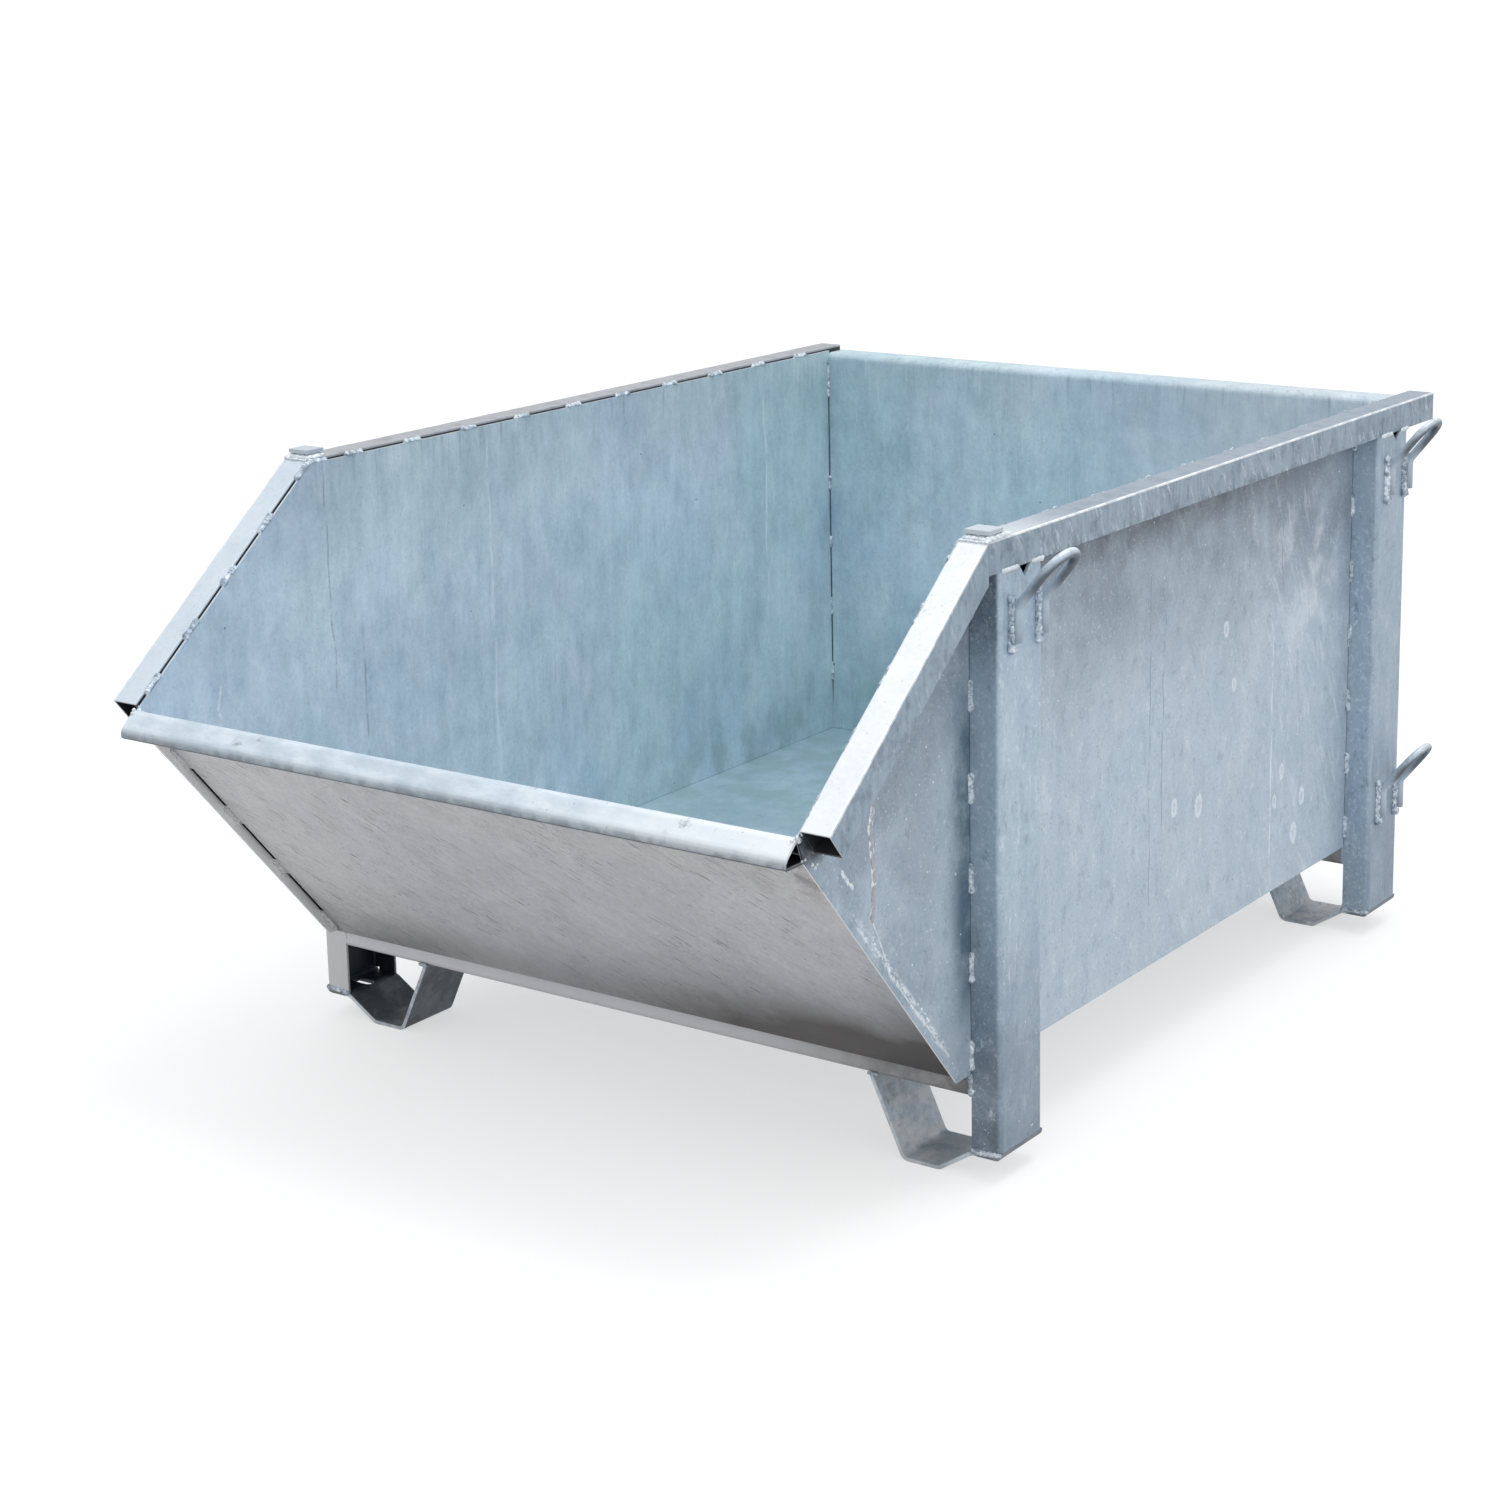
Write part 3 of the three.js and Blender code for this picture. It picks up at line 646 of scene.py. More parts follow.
def side_marks(where, colour, height):
    """A side sheet: the inside's marks within, and its own outside."""
    x, y, z = where.axes()
    ovals, middles = dried_ovals(where, y, z)
    rear = y.between(0.24, 0.50)
    dark_lines = upright_lines(
        where, (y, 0.045, 1.5, 0.3, 0.62), (y, 0.01, 1.2, 0.2, 0.7), (y, 0.40, 1.3, 0.55, 0.78))
    bright_line = upright_line(where, y, 0.372, 2.0, 0.16, 0.52, 2.0)
    smears = where.scaled(1.0, 1.0, 0.7).clouds(48.0, 6.0, 0.75)
    smoky = where.clouds(10.0, 6.0, 0.7).between(0.46, 0.64) * rear
    smoky = smoky * z.between(0.34, 0.48) * z.between(0.72, 0.64)
    fine_grain = grain(where)
    by_posts = (y - front_post[0].y) * (y - rear_post[0].y)
    by_posts = (by_posts * by_posts).between((2.6 * MM) ** 2, (0.9 * MM) ** 2)
    outer = coats(
        colour,
        ((165, 180, 196), 0.55),
        ((232, 239, 245), smears.between(*PALE_SMEARS) * 0.36),
        ((112, 130, 147), smears.between(*DARK_SMEARS) * 0.34),
        *shaded_parts(where, y, z),
        ((230, 237, 243), smoky * 0.45),
        ((233, 239, 245), ovals * 0.6 + brushed(where) * (0.14 + rear * 0.40) + bright_line * 0.6),
        ((240, 245, 249), fine_grain.between(*PALE_FLECKS) * 0.45),
        ((92, 108, 126), fine_grain.between(*DARK_FLECKS) * 0.45),
        ((110, 128, 146), middles * 0.3 + dark_lines * 0.6),
        *nose_parts(where, y, z),
        ((58, 74, 88), by_posts * 0.7),
        # Painted shade inside the hollow posts.
        (SHADE_AND_SOOT, post_hollow(x, y) * 0.9),
    )
    inner, _ = inner_marks(where, colour, height)
    # The strip of the inner face before the panel is painted nearly white: the panel's pale grey,
    # lifted further as painted light.
    before_panel = panel_depth(where).between(0.2 * MM, 0.8 * MM)
    grey = before_panel * z.between(lip_under, lip_under - 2 * MM)
    aside = abs(x)
    outside = aside.between(half_inside + 1.2 * MM, half_inside + 1.8 * MM)
    # The sheet's cut edges behind the nose get a painted highlight.
    edge = aside.between(half_inside + 0.2 * MM, half_inside + 0.5 * MM)
    edge = edge * aside.between(half_body - 0.2 * MM, half_body - 0.5 * MM) * y.between(-0.745, -0.735)
    whole = coats(inner, ((254, 253, 253), grey), (outer, outside), ((228, 235, 241), edge))
    return whole, height + (ovals * 0.5 - middles * 0.3) * outside


print("the side sheets are", round((half_body - half_inside) / MM, 1), "mm thick")

# %% [markdown]
# ## Front panel and lip
# The panel leans over the ground and is dragged over rubble, so it is a warm grey with slanting
# scratches, and it darkens towards its low right corner, which is nearly black. Its lip is as bright as
# the rims. The sheet is one mesh, so the two finishes could be two materials on chosen faces; one
# material that changes with the place keeps the border soft.

# %% Lip
lip_apex = max(panel_points, key=lambda place: (round(place.z, 4), place.x))
lip_brow = min((place for place in panel_points if place.z > lip_under + 9 * MM), key=foremost)
lip_front = min(place.y for place in panel_points)
lip_fall = heading(lip_apex, lip_brow)
lip_out = Vector((0, lip_fall.z, -lip_fall.y))


def lip_depth(where):
    """How far a place lies outside the lip's three faces: below zero it is inside them."""
    _, y, z = where.axes()
    over = where.along(lip_out) - lip_brow.dot(lip_out)
    return over.highest(lip_front - y).highest(lip_under - z)


def lip_zinc(where, depth):
    """The lip's bright zinc, smudged and pitted, with painted shade where it is turned under, a painted
    shadow along its lower edge and painted shade inside it.
    """
    x, _, z = where.axes()
    broad = where.scaled(0.5, 1.0, 1.0).clouds(30.0, 6.0, 0.7).between(0.3, 0.7)
    smudge = where.clouds(34.0, 5.0, 0.75).between(0.58, 0.70)
    smudge = smudge * where.clouds(6.0, 2.0).between(0.48, 0.6)
    specks = spots(where.turned(10, 50, 20), 13 * MM, 0.10, 0.3)
    # Painted shade on the lip's front face, where it is turned under.
    turned_under = z.between(0.514, 0.500) * (0.7 + 0.3 * where.clouds(60.0, 4.0).between(0.4, 0.6))
    within = lip_depth(where).between(-2.6 * MM, -3.2 * MM) * depth.between(-2.6 * MM, -2.0 * MM)
    return coats(
        mixed((188, 202, 214), (220, 229, 237), broad),
        ((240, 244, 248), x.between(0.1, 0.5) * 0.7),
        ((112, 118, 126), smudge * 0.6 + specks * 0.6),
        ((104, 114, 124), turned_under * 0.8),
        # A painted shadow along the lip's lower edge, then painted shade inside the lip.
        ((52, 58, 66), z.between(0.5005, 0.4975)),
        (SHADE_AND_SOOT, within),
    )


print("the lip's underside is at", round(lip_under, 4), "m")

# %% Panel


def slanting(where, lengthways, sideways, seed, detail, roughness):
    """Noise that is drawn out along the slanting scratches."""
    slant = (X - panel_up).normalized()
    across = (X + panel_up).normalized()
    place = vector_of(where.along(slant) * lengthways, where.along(across) * sideways, seed)
    return place.clouds(1.0, detail, roughness)


def panel_dark_foot(where, x, z):
    """The dark foot of the panel, blackest in its right corner, kept short of full black."""
    blotches = where.clouds(9.0, 5.0, 0.65).between(0.35, 0.65)
    low = z.between(0.30, 0.13) * (0.17 + 0.9 * x.between(-0.15, 0.48)) * (0.84 + 0.22 * blotches)
    low = low + z.between(0.225, 0.135) * 0.30
    corner = vector_of(x - half_inside, 0.0, z - floor_under).length().between(0.20, 0.02)
    return low.highest(corner * 0.96).lowest(0.95)


def panel_marks(where, colour, height):
    """The front panel: scratches, dirt, a dark foot and slits with painted shade outside, zinc within,
    and its lip.
    """
    x, y, z = where.axes()
    aside = abs(x)
    depth = panel_depth(where)
    coarse = slanting(where, 9.0, 60.0, 5.0, 6.0, 0.75)
    scratches = slanting(where, 26.0, 190.0, 0.0, 4.0, 0.6).between(0.59, 0.67)
    scratches = scratches * where.clouds(7.0, 3.0).between(0.38, 0.56)
    pale = slanting(where, 34.0, 230.0, 3.0, 3.0, 0.6).between(0.58, 0.73) * z.between(0.38, 0.18)
    gouges = slanting(where, 46.0, 300.0, 9.0, 3.0, 0.6).between(0.63, 0.68)
    gouges = gouges * where.clouds(10.0, 3.0).between(0.46, 0.58)
    grit = spots(where.turned(5, 25, 60), 24 * MM, 0.060, 0.45)
    colour = coats(
        colour,
        ((128, 126, 128), coarse.between(0.54, 0.72) * 0.45),
        ((236, 236, 238), coarse.between(0.46, 0.30) * 0.40),
        ((92, 90, 92), scratches * 0.72),
        ((226, 226, 226), pale * 0.6),
        ((84, 80, 80), gouges * 0.7 + grit * 0.6),
    )
    cool = z.between(0.44, 0.30) * x.between(-0.40, 0.0) * 0.3
    colour = mixed(colour, (228, 238, 250), cool, "MULTIPLY")
    smudge = x.between(0.36, 0.46) * z.between(0.40, 0.46)
    smudge = smudge * where.clouds(20.0, 6.0, 0.75).between(0.45, 0.62)
    beside = aside.between(half_inside - 20 * MM, half_inside - 8 * MM) * z.between(0.30, 0.20)
    beside = beside * where.clouds(70.0, 5.0, 0.75).between(0.54, 0.62)
    drips = runs(where, 26 * MM, 150 * MM) * 0.5 + where.clouds(9.0, 6.0, 0.7) * 0.5
    inner_face = mixed((160, 182, 198), (206, 219, 230), drips.between(0.36, 0.64))
    slit = depth.between(-0.3 * MM, -0.6 * MM) * depth.between(-3.7 * MM, -3.3 * MM)
    slit = slit * aside.between(half_inside - 8.2 * MM, half_inside - 7.6 * MM)
    lip = z.between(lip_under - 0.5 * MM, lip_under + 0.2 * MM) * y.between(-0.755, -0.757)
    lip = lip * depth.between(-3.4 * MM, -2.8 * MM)
    colour = coats(
        colour,
        ((50, 44, 40), panel_dark_foot(where, x, z)),
        ((112, 100, 98), smudge * 0.55),
        (SHADE_AND_SOOT, beside * 0.8),
        (inner_face, depth.between(-3.3 * MM, -3.8 * MM)),
        # Painted shade inside the slits.
        (SHADE_AND_SOOT, slit),
        (lip_zinc(where, depth), lip),
    )
    return colour, height - scratches * 0.4


print("scratches, gouges and grit on the panel")

# %% [markdown]
# ## Rims
# The rims are square tube with fresh, bright zinc. Their colour carries painted light: nearly white
# where they slope to the light, greyer on the level tops, a painted highlight along the outer arris,
# and sides painted darker, partly as shade, and smeared grey; the open ends and insides carry painted
# shade. Separate materials for each face would show hard borders at the rounded edges, so one finish
# asks how far a place lies from the top face and from the middle of the container, and paints by that.

# %% Rims


def rim_top(where, colour, x, y, z, level, blots):
    """The rims' top faces and the cap plates, each side in its own painted light."""
    specks = spots(where.turned(10, 50, 20), 15 * MM, 0.10, 0.22)
    smudge = where.clouds(40.0, 5.0, 0.75).between(0.58, 0.70)
    smudge = smudge * where.clouds(7.0, 2.0).between(0.46, 0.60)
    right = x.between(-0.1, 0.1)
    behind_cap = y.between(rim_corner.y + 50 * MM, rim_corner.y + 230 * MM)
    top = coats(
        colour,
        ((120, 126, 134), specks * 0.55 + smudge * 0.5),
        # Painted light: the sloped tops whiter on the right and bluer on the left, the level tops
        # greyer and darker again in blots.
        ((250, 250, 251), (1.0 - level) * right * 0.35),
        ((182, 198, 212), (1.0 - level) * (1.0 - right) * 0.45),
        ((172, 179, 187), level * 0.6),
        ((120, 136, 151), level * x.between(0.0, 0.1) * behind_cap * (0.78 + 0.2 * blots)),
        ((134, 134, 140), level * x.between(0.0, -0.1) * (0.6 + 0.3 * blots)),
        ((188, 197, 206), z.between(rim_high.z + 3 * MM, rim_high.z + 4 * MM) * 0.85),
    )
    return top, specks


def rim_hollow(where, aside, fall):
    """Painted shade on a rim: its face over the sheet's edge, its inside and its open end."""
    sheet_face = aside.between(rim_low.x + 0.5 * MM, rim_low.x + 0.2 * MM)
    sheet_face = sheet_face * fall.between(-2.5 * MM, -3.3 * MM)
    within = aside.between(rim_low.x + 2.0 * MM, rim_low.x + 2.6 * MM)
    within = within * aside.between(rim_high.x - 2.0 * MM, rim_high.x - 2.6 * MM)
    within = within * fall.between(-2.2 * MM, -2.8 * MM)
    within = within * fall.between(2.2 * MM - rim_width, 2.8 * MM - rim_width)
    end_face = where.along(slope_down) - rim_corner.dot(slope_down)
    end_face = end_face.between(slope_length - 1.2 * MM, slope_length - 0.4 * MM)
    end_face = end_face * fall.between(-1.4 * MM, -2.2 * MM)
    end_face = end_face * aside.between(rim_high.x - 1.4 * MM, rim_high.x - 2.2 * MM)
    return sheet_face.highest(within).highest(end_face)


def rim_marks(where, colour, height):
    """The rims: tops with painted light and dark specks, smeared sides painted darker, a painted
    highlight on the outer arris, painted shade within.
    """
    x, y, z = where.axes()
    aside = abs(x)
    level = y.between(rim_corner.y - 1 * MM, rim_corner.y + 1 * MM)
    rise = where.along(slope_out) - rim_corner.dot(slope_out)
    fall = rise + (z - rim_corner.z - rise) * level
    smears = runs(where, 9 * MM, 45 * MM).between(0.38, 0.66)
    blots = where.clouds(40.0, 6.0, 0.7).between(0.45, 0.66)
    pale_smears = vector_of(x, y + z * 0.5, z * 0.3).clouds(120.0, 5.0, 0.7).between(0.54, 0.70)
    foot = z.between(rim_low.z + 12 * MM, rim_low.z) * level
    # The sides are painted darker than the tops, partly as shade, and mottled by smears and blots.
    side_tone = coats(
        mixed((152, 168, 183), (102, 118, 134), smears * 0.35 + blots * 0.5),
        ((222, 230, 238), pale_smears * (0.25 + level * 0.3)),
        ((92, 100, 110), foot * blots * 0.6),
    )
    top, specks = rim_top(where, colour, x, y, z, level, blots)
    patchy = where.clouds(30.0, 4.0, 0.7).between(0.42, 0.58)
    # A painted highlight along the rounded outer arris, patchy along its length.
    arris = aside.between(rim_high.x - 3.8 * MM, rim_high.x - 2.4 * MM)
    arris = arris * fall.between(-2.6 * MM, -1.8 * MM) * (0.3 + 0.3 * level + 0.4 * patchy)
    arris = arris * z.between(rim_high.z + 2 * MM, rim_high.z + 1 * MM)
    whole = coats(
        top,
        (side_tone, aside.between(rim_high.x - 1.2 * MM, rim_high.x - 0.3 * MM)),
        ((252, 253, 255), arris * 0.8),
        (SHADE_AND_SOOT, rim_hollow(where, aside, fall) * 0.96),
    )
    return whole, height - specks * 0.6


print("the rims are", round(rim_width / MM), "mm wide")

# %% [markdown]
# ## Posts and beams
# The folded posts show two faces: flanges with slanting scratches, a painted shadow high up under
# the rim on the front posts and darker low down, and a brighter web with fine runs; inside the posts
# lies painted shade. The cross beams, nearly hidden, are warm grey, darker to the right, with painted
# shade at top and foot. Each face could have a material of its own, but posts and beams share one
# slot of the record, so one finish asks on which face a place lies.

# %% Posts and beams


def flange_zinc(where, colour, rear, low, lights, darks, pale_flecks):
    """The posts' flanges, against the side sheets."""
    x, y, z = where.axes()
    slanted = vector_of(x, y + z * 0.8, (z - y * 0.8) * 0.1)
    scratches = slanted.clouds(170.0, 4.0, 0.6).between(0.53, 0.66)
    # Painted shadow under the rim on the front flanges, made uneven, with pale patches in it.
    shadow_under_rim = z.between(0.60, 0.71) * (1.0 - rear)
    shadow_under_rim = shadow_under_rim * (0.75 + 0.25 * where.clouds(60.0, 5.0, 0.7).between(0.4, 0.6))
    patchy = where.clouds(170.0, 3.0, 0.6).between(0.60, 0.68)
    below = x.between(-0.1, -0.2) * z.between(0.19, 0.14)
    below = below * y.between(front_post[0].y + 6 * MM, front_post[0].y + 3 * MM)
    return coats(
        colour,
        ((162, 183, 201), 0.62 - 0.30 * rear),
        ((214, 223, 232), scratches * (0.45 + 0.15 * rear)),
        ((72, 88, 100), shadow_under_rim * 0.72),
        ((206, 214, 222), shadow_under_rim * patchy * 0.6),
        ((66, 76, 88), low * (0.78 - 0.3 * rear)),
        ((210, 222, 232), lights * 0.58),
        ((74, 92, 108), darks * 0.46),
        ((226, 233, 240), pale_flecks * 0.5),
        ((216, 215, 215), below * 0.85),
    )


def beam_zinc(where, colour, x, z):
    """The cross beams: warm grey, darker to the right, with a shaded brim at top and foot."""
    darkening = 0.10 + x.between(0.10, 0.52) * 0.62
    darkening = darkening * (0.85 + 0.3 * where.clouds(13.0, 5.0, 0.7).between(0.4, 0.6))
    beam_foot = front_post[0].z + 72 * MM
    brim = z.between(floor_under - 3 * MM, floor_under - 1 * MM)
    brim = brim.highest(z.between(beam_foot + 1 * MM, beam_foot - 1 * MM))
    return coats(
        colour, ((226, 225, 226), 0.85), ((62, 56, 54), darkening), ((70, 74, 80), brim * 0.45))


def post_marks(where, colour, height):
    """Posts and beams, by the face that a place lies on."""
    x, y, z = where.axes()
    aside = abs(x)
    rear = y.between(0.0, 0.1)
    low = z.between(0.42, 0.08) * (0.6 + 0.4 * where.clouds(11.0, 5.0, 0.65).between(0.35, 0.6))
    low = low * (1.0 - rear * 0.45)
    smears = where.scaled(1.0, 1.0, 0.6).clouds(62.0, 6.0, 0.75)
    lights, darks = smears.between(*PALE_SMEARS), smears.between(*DARK_SMEARS)
    streaks = runs(where, 7 * MM, 60 * MM).between(0.52, 0.72)
    streaks = streaks * where.clouds(8.0, 3.0).between(0.42, 0.60)
    pale_flecks = grain(where).between(*PALE_FLECKS)
    web_zinc = coats(
        colour,
        ((236, 242, 247), streaks * 0.5 + lights * 0.42 + pale_flecks * 0.3),
        ((116, 133, 150), darks * 0.42),
        ((92, 106, 122), low * 0.62 + rear * 0.20),
    )
    hollow = post_hollow(x, y) * aside.between(half_body - 1 * MM, half_body)
    whole = coats(
        flange_zinc(where, colour, rear, low, lights, darks, pale_flecks),
        (web_zinc, aside.between(rim_high.x - 6 * MM, rim_high.x - 2 * MM)),
        (beam_zinc(where, colour, x, z), aside.between(half_inside, half_inside - 2 * MM)),
        # Painted shade inside the hollow posts.
        (SHADE_AND_SOOT, hollow * 0.9),
    )
    return whole, height


print("the posts' webs start at", round(post_web, 4), "m")

# %% [markdown]
# ## Straps, eyes and beads
# The foot straps are scraped by every set-down and carry painted shade under the posts, the eyes are
# smooth bar with painted shade underneath and painted light on top, and the weld beads have painted
# highlights on their lumps and painted shade in their crevices. Each could do with plain zinc, but from
# close by it is this wear and painted light that tells them apart.

# %% Straps, eyes and beads


def strap_marks(where, colour, height):
    """Foot straps: mottled and worn, with a scraped pale middle and painted shade under the posts."""
    x, y, z = where.axes()
    worn = where.clouds(26.0, 5.0, 0.7)
    grime = 0.32 + 0.06 * z.between(0.03, 0.008)
    scraped = where.scaled(1.0, 0.25, 1.0).clouds(60.0, 4.0).between(0.50, 0.64)
    scraped = scraped * where.clouds(16.0, 3.0).between(0.44, 0.56)
    shaded = x.between(-0.2, -0.3) * y.between(0.1, 0.0)
    shaded = shaded * y.between(front_post[0].y + 0.3 * MM, front_post[0].y + 1 * MM)
    colour = coats(
        colour,
        ((80, 84, 90), worn.between(0.48, 0.60) * grime),
        ((202, 200, 200), z.between(0.022, 0.012) * worn.between(0.58, 0.46) * 0.6),
        ((226, 227, 228), scraped * 0.6),
        # Painted shade on the straps under the posts.
        ((62, 68, 76), abs(x).between(half_body + 4 * MM, half_body + 10 * MM) * 0.7),
        ((38, 46, 56), shaded * (0.66 + 0.22 * worn.between(0.62, 0.42))),
    )
    return colour, height


def bar_marks(where, colour, height):
    """Eyes: painted shade underneath and painted light on top of the bar; the legs on the post are as
    pale as its web.
    """
    leg = abs(where.axes()[0]).between(rim_high.x + 34 * MM, rim_high.x + 11 * MM)
    facing = where.node("ShaderNodeTexCoord", output=1).axes()[2]
    patchy = where.clouds(90.0, 4.0, 0.7).between(0.52, 0.66)
    colour = coats(
        colour,
        # Painted shade on faces that look down, painted light on those that look up.
        ((44, 50, 58), facing.between(0.42, -0.40) * (0.80 - leg * 0.6)),
        ((236, 241, 246), facing.between(0.45, 0.95) * 0.55),
        ((120, 132, 144), patchy * 0.35),
        ((190, 204, 217), leg * 0.6),
    )
    return colour, height


def bead_marks(where, colour, height):
    """Weld beads: painted shade in the crevices between the lumps and a painted highlight on the lumps.
    """
    lumps = where.clouds(150.0, 4.0, 0.6)
    # The colour follows the bumps: painted shade low, painted highlight high.
    crevices = lumps.between(0.50, 0.38)
    colour = coats(
        colour, ((92, 110, 128), crevices * 0.6), ((240, 245, 249), lumps.between(0.54, 0.66) * 0.7))
    return colour, height + lumps


print("marks of straps, eyes and beads")

# %% [markdown]
# ## Finishes
# The record names eight slots of material. One zinc for all would be simpler, but on the real
# container each kind of steel took the zinc in its own way, so each slot gets a finish between
# its own pale and dull colour. Three more serve weld beads that took another colour: warm ones
# beside the panel, white ones on the caps, and the pinkish core of the frozen runs.

# %% Finishes on the CAD nodes
SHEET_ZINC = {"pale": (224, 236, 245), "dull": (172, 191, 205), "mottle_share": 0.5, "fleck_share": 0.5}
PLAIN_BEAD = {"run_share": 0.0, "cloud_share": 0.5, "relief": 0.5, "green_share": 0.0}

slot_finish = {
    "inner_sheet": zinc("inner_sheet", **SHEET_ZINC, marks=inner_marks),
    "front_sheet": zinc("front_sheet", (222, 221, 223), (188, 188, 192), run_share=0.3, relief=0.25,
                        green_share=0.0, marks=panel_marks),
    "side_sheet": zinc("side_sheet", **SHEET_ZINC, marks=side_marks),
    "rim_tube": zinc("rim_tube", (236, 241, 246), (208, 217, 226), run_share=0.4, green_share=0.0,
                     marks=rim_marks),
    "frame_channel": zinc("frame_channel", (190, 205, 219), (158, 177, 195), marks=post_marks),
    "foot_strap": zinc("foot_strap", (222, 231, 240), (166, 179, 192), cloud_share=1.4,
                       roughness=0.53, green_share=0.0, marks=strap_marks),
    "eye_bar": zinc("eye_bar", (200, 211, 221), (156, 170, 184), run_share=0.2, relief=0.15,
                    marks=bar_marks),
    "weld_bead": zinc("weld_bead", (218, 227, 235), (136, 152, 168), run_share=0.0, relief=0.35,
                      fleck_share=0.3, marks=bead_marks),
}
panel_bead = zinc("panel_bead", (222, 221, 223), (176, 176, 180), mottle_share=2.0, **PLAIN_BEAD)
white_bead = zinc("white_bead", (244, 248, 251), (186, 197, 207), mottle_share=1.6, **PLAIN_BEAD)
pink_bead = zinc("pink_bead", (190, 186, 192), (152, 148, 156), mottle_share=1.6, **PLAIN_BEAD)

node_slot = {row["node"]: row["material_slot"] for row in frame["record"]["subparts"]}
for name, node in nodes.items():
    node.data.materials.clear()
    node.data.materials.append(slot_finish[node_slot[name]])
print(len(slot_finish), "finishes on", len(nodes), "nodes")

# %% [markdown]
# ## Weld beads
# A bead is molten metal laid in a corner: round across, rippled along, fatter where the arc
# started and stopped. A curve with a round bevel would be too regular, so each bead is built ring
# by ring, with its leg changing from ring to ring, and its ends drawn together.

# %% A bead in a corner
DICE_SEED = 7
QUARTER_ROUND = [math.radians(15 * step) for step in range(7)]
RIPPLE_SHARE = 0.07
WANDER_SHARE = 0.08
dice = random.Random(DICE_SEED)


def skin(shape, rings):
    """Joins rings of points to a closed body."""
    made = [[shape.verts.new(place) for place in ring] for ring in rings]
    count = len(made[0])
    for first, second in zip(made, made[1:]):
        for i in range(count):
            after = (i + 1) % count
            shape.faces.new((first[i], first[after], second[after], second[i]))
    shape.faces.new(made[0][::-1])
    shape.faces.new(made[-1])


def bead(shape, start, along, face_a, face_b, length, leg, blob=0.22, ripple=1.9 * MM):
    """A fillet from a point along a corner, with its toes on the faces a and b."""
    steps = max(8, round(length / (ripple / 4)))
    rings = []
    wander = [dice.uniform(-1, 1) for _ in range(4)]
    for step in range(steps + 1):
        run = length * step / steps
        edge = min(run, length - run)
        cap = math.sqrt(max(0.0, 1 - (1 - min(edge / leg, 1)) ** 2))
        swell = 1 + blob * math.exp(-((edge - leg) / leg) ** 2)
        wave = 1 + RIPPLE_SHARE * math.cos(2 * math.pi * run / ripple)
        drift = sum(wander[i] * math.sin((i + 1) * 2.1 * run / length + i) for i in range(4))
        size = leg * max(cap, 0.06) * swell * wave * (1 + WANDER_SHARE * drift)
        centre = start + along * run - (face_a + face_b) * 0.3 * MM
        ring = [centre]
        for angle in QUARTER_ROUND:
            reach = size * (1 - 0.14 * math.sin(2 * angle))
            bow = along * (0.5 * ripple * math.sin(2 * angle))
            ring.append(centre + (face_a * math.cos(angle) + face_b * math.sin(angle)) * reach - bow)
        rings.append(ring)
    skin(shape, rings)


print("beads are drawn with seed", DICE_SEED)

# %% Lumps and ridges


def drop(shape, place, radius, flat=(1.0, 1.0, 1.0), lumps=0.12):
    """A round lump of weld metal, a little uneven."""
    made = bmesh.ops.create_icosphere(shape, subdivisions=2, radius=radius)["verts"]
    shift = Vector([dice.uniform(0, 9) for _ in range(3)])
    for corner in made:
        size = 1 + lumps * noise.noise(corner.co / radius * 1.3 + shift)
        corner.co = Vector([corner.co[i] * flat[i] * size for i in range(3)]) + Vector(place)


def ridge(shape, start, end, size, flat, pitch=0.8):
    """A row of overlapping lumps from one point to another, flattened along the axes."""
    run = end - start
    count = max(2, round(run.length / (size * pitch)))
    for step in range(count + 1):
        radius = size * dice.uniform(0.8, 1.15)
        drop(shape, start + run * (step / count), radius, flat, 0.25)


def line_of_beads(shape, start, along, face_a, face_b, stitches, leg):
    """Stitches at their own places along a seam, each with a lump at its start and its end."""
    for place, run in stitches:
        bead(shape, start + along * place, along, face_a, face_b, run, leg * dice.uniform(0.9, 1.1))
        for end in (place + 0.7 * leg, place + run - 0.7 * leg):
            lump = start + along * end + (face_a + face_b) * 0.45 * leg
            drop(shape, lump, leg * dice.uniform(0.42, 0.6))


def row(first, pitch, run, end):
    """Equal stitches at a pitch, as (place, run), up to an end."""
    places = []
    while first + run <= end:
        places.append((first, run))
        first += pitch
    return places


print("a metre holds", len(row(0, 118 * MM, 37 * MM, 1.0)), "rim stitches")

# %% Pieces that ride on the container


def steel_piece(name, shape, finish, slot, *replaced):
    """A piece with its faces outward and its finish, on the container, for the nodes it replaces."""
    bmesh.ops.recalc_face_normals(shape, faces=shape.faces)
    made = new_piece(name, shape)
    made.data.materials.append(finish)
    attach(made, "root")
    if replaced:
        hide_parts(*replaced)


def weld_piece(name, shape, *replaced, finish=slot_finish["weld_bead"]):
    """A smooth piece of weld metal."""
    for face in shape.faces:
        face.smooth = True
    steel_piece(name, shape, finish, "weld_bead", *replaced)


print("pieces ride on root")

# %% Post seams
post_leg = 5.0 * MM
post_rows = {
    "front": row(5 * MM, 112 * MM, 40 * MM, 620 * MM),
    "rear": row(14 * MM, 98 * MM, 35 * MM, 640 * MM),
}
for station, stitches in post_rows.items():
    for word, side in SIDES.items():
        low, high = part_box(f"{station}_{word}_post")
        for flange, way, y in (("front", -1, low.y), ("rear", 1, high.y)):
            shape = bmesh.new()
            start = Vector((side * half_body, y, floor_under))
            line_of_beads(shape, start, Z, X * side, Y * way, stitches, post_leg)
            name = f"{station}_{word}_post_{flange}"
            weld_piece(f"{name}_beads", shape, f"{name}_weld")
print("eight post seams")

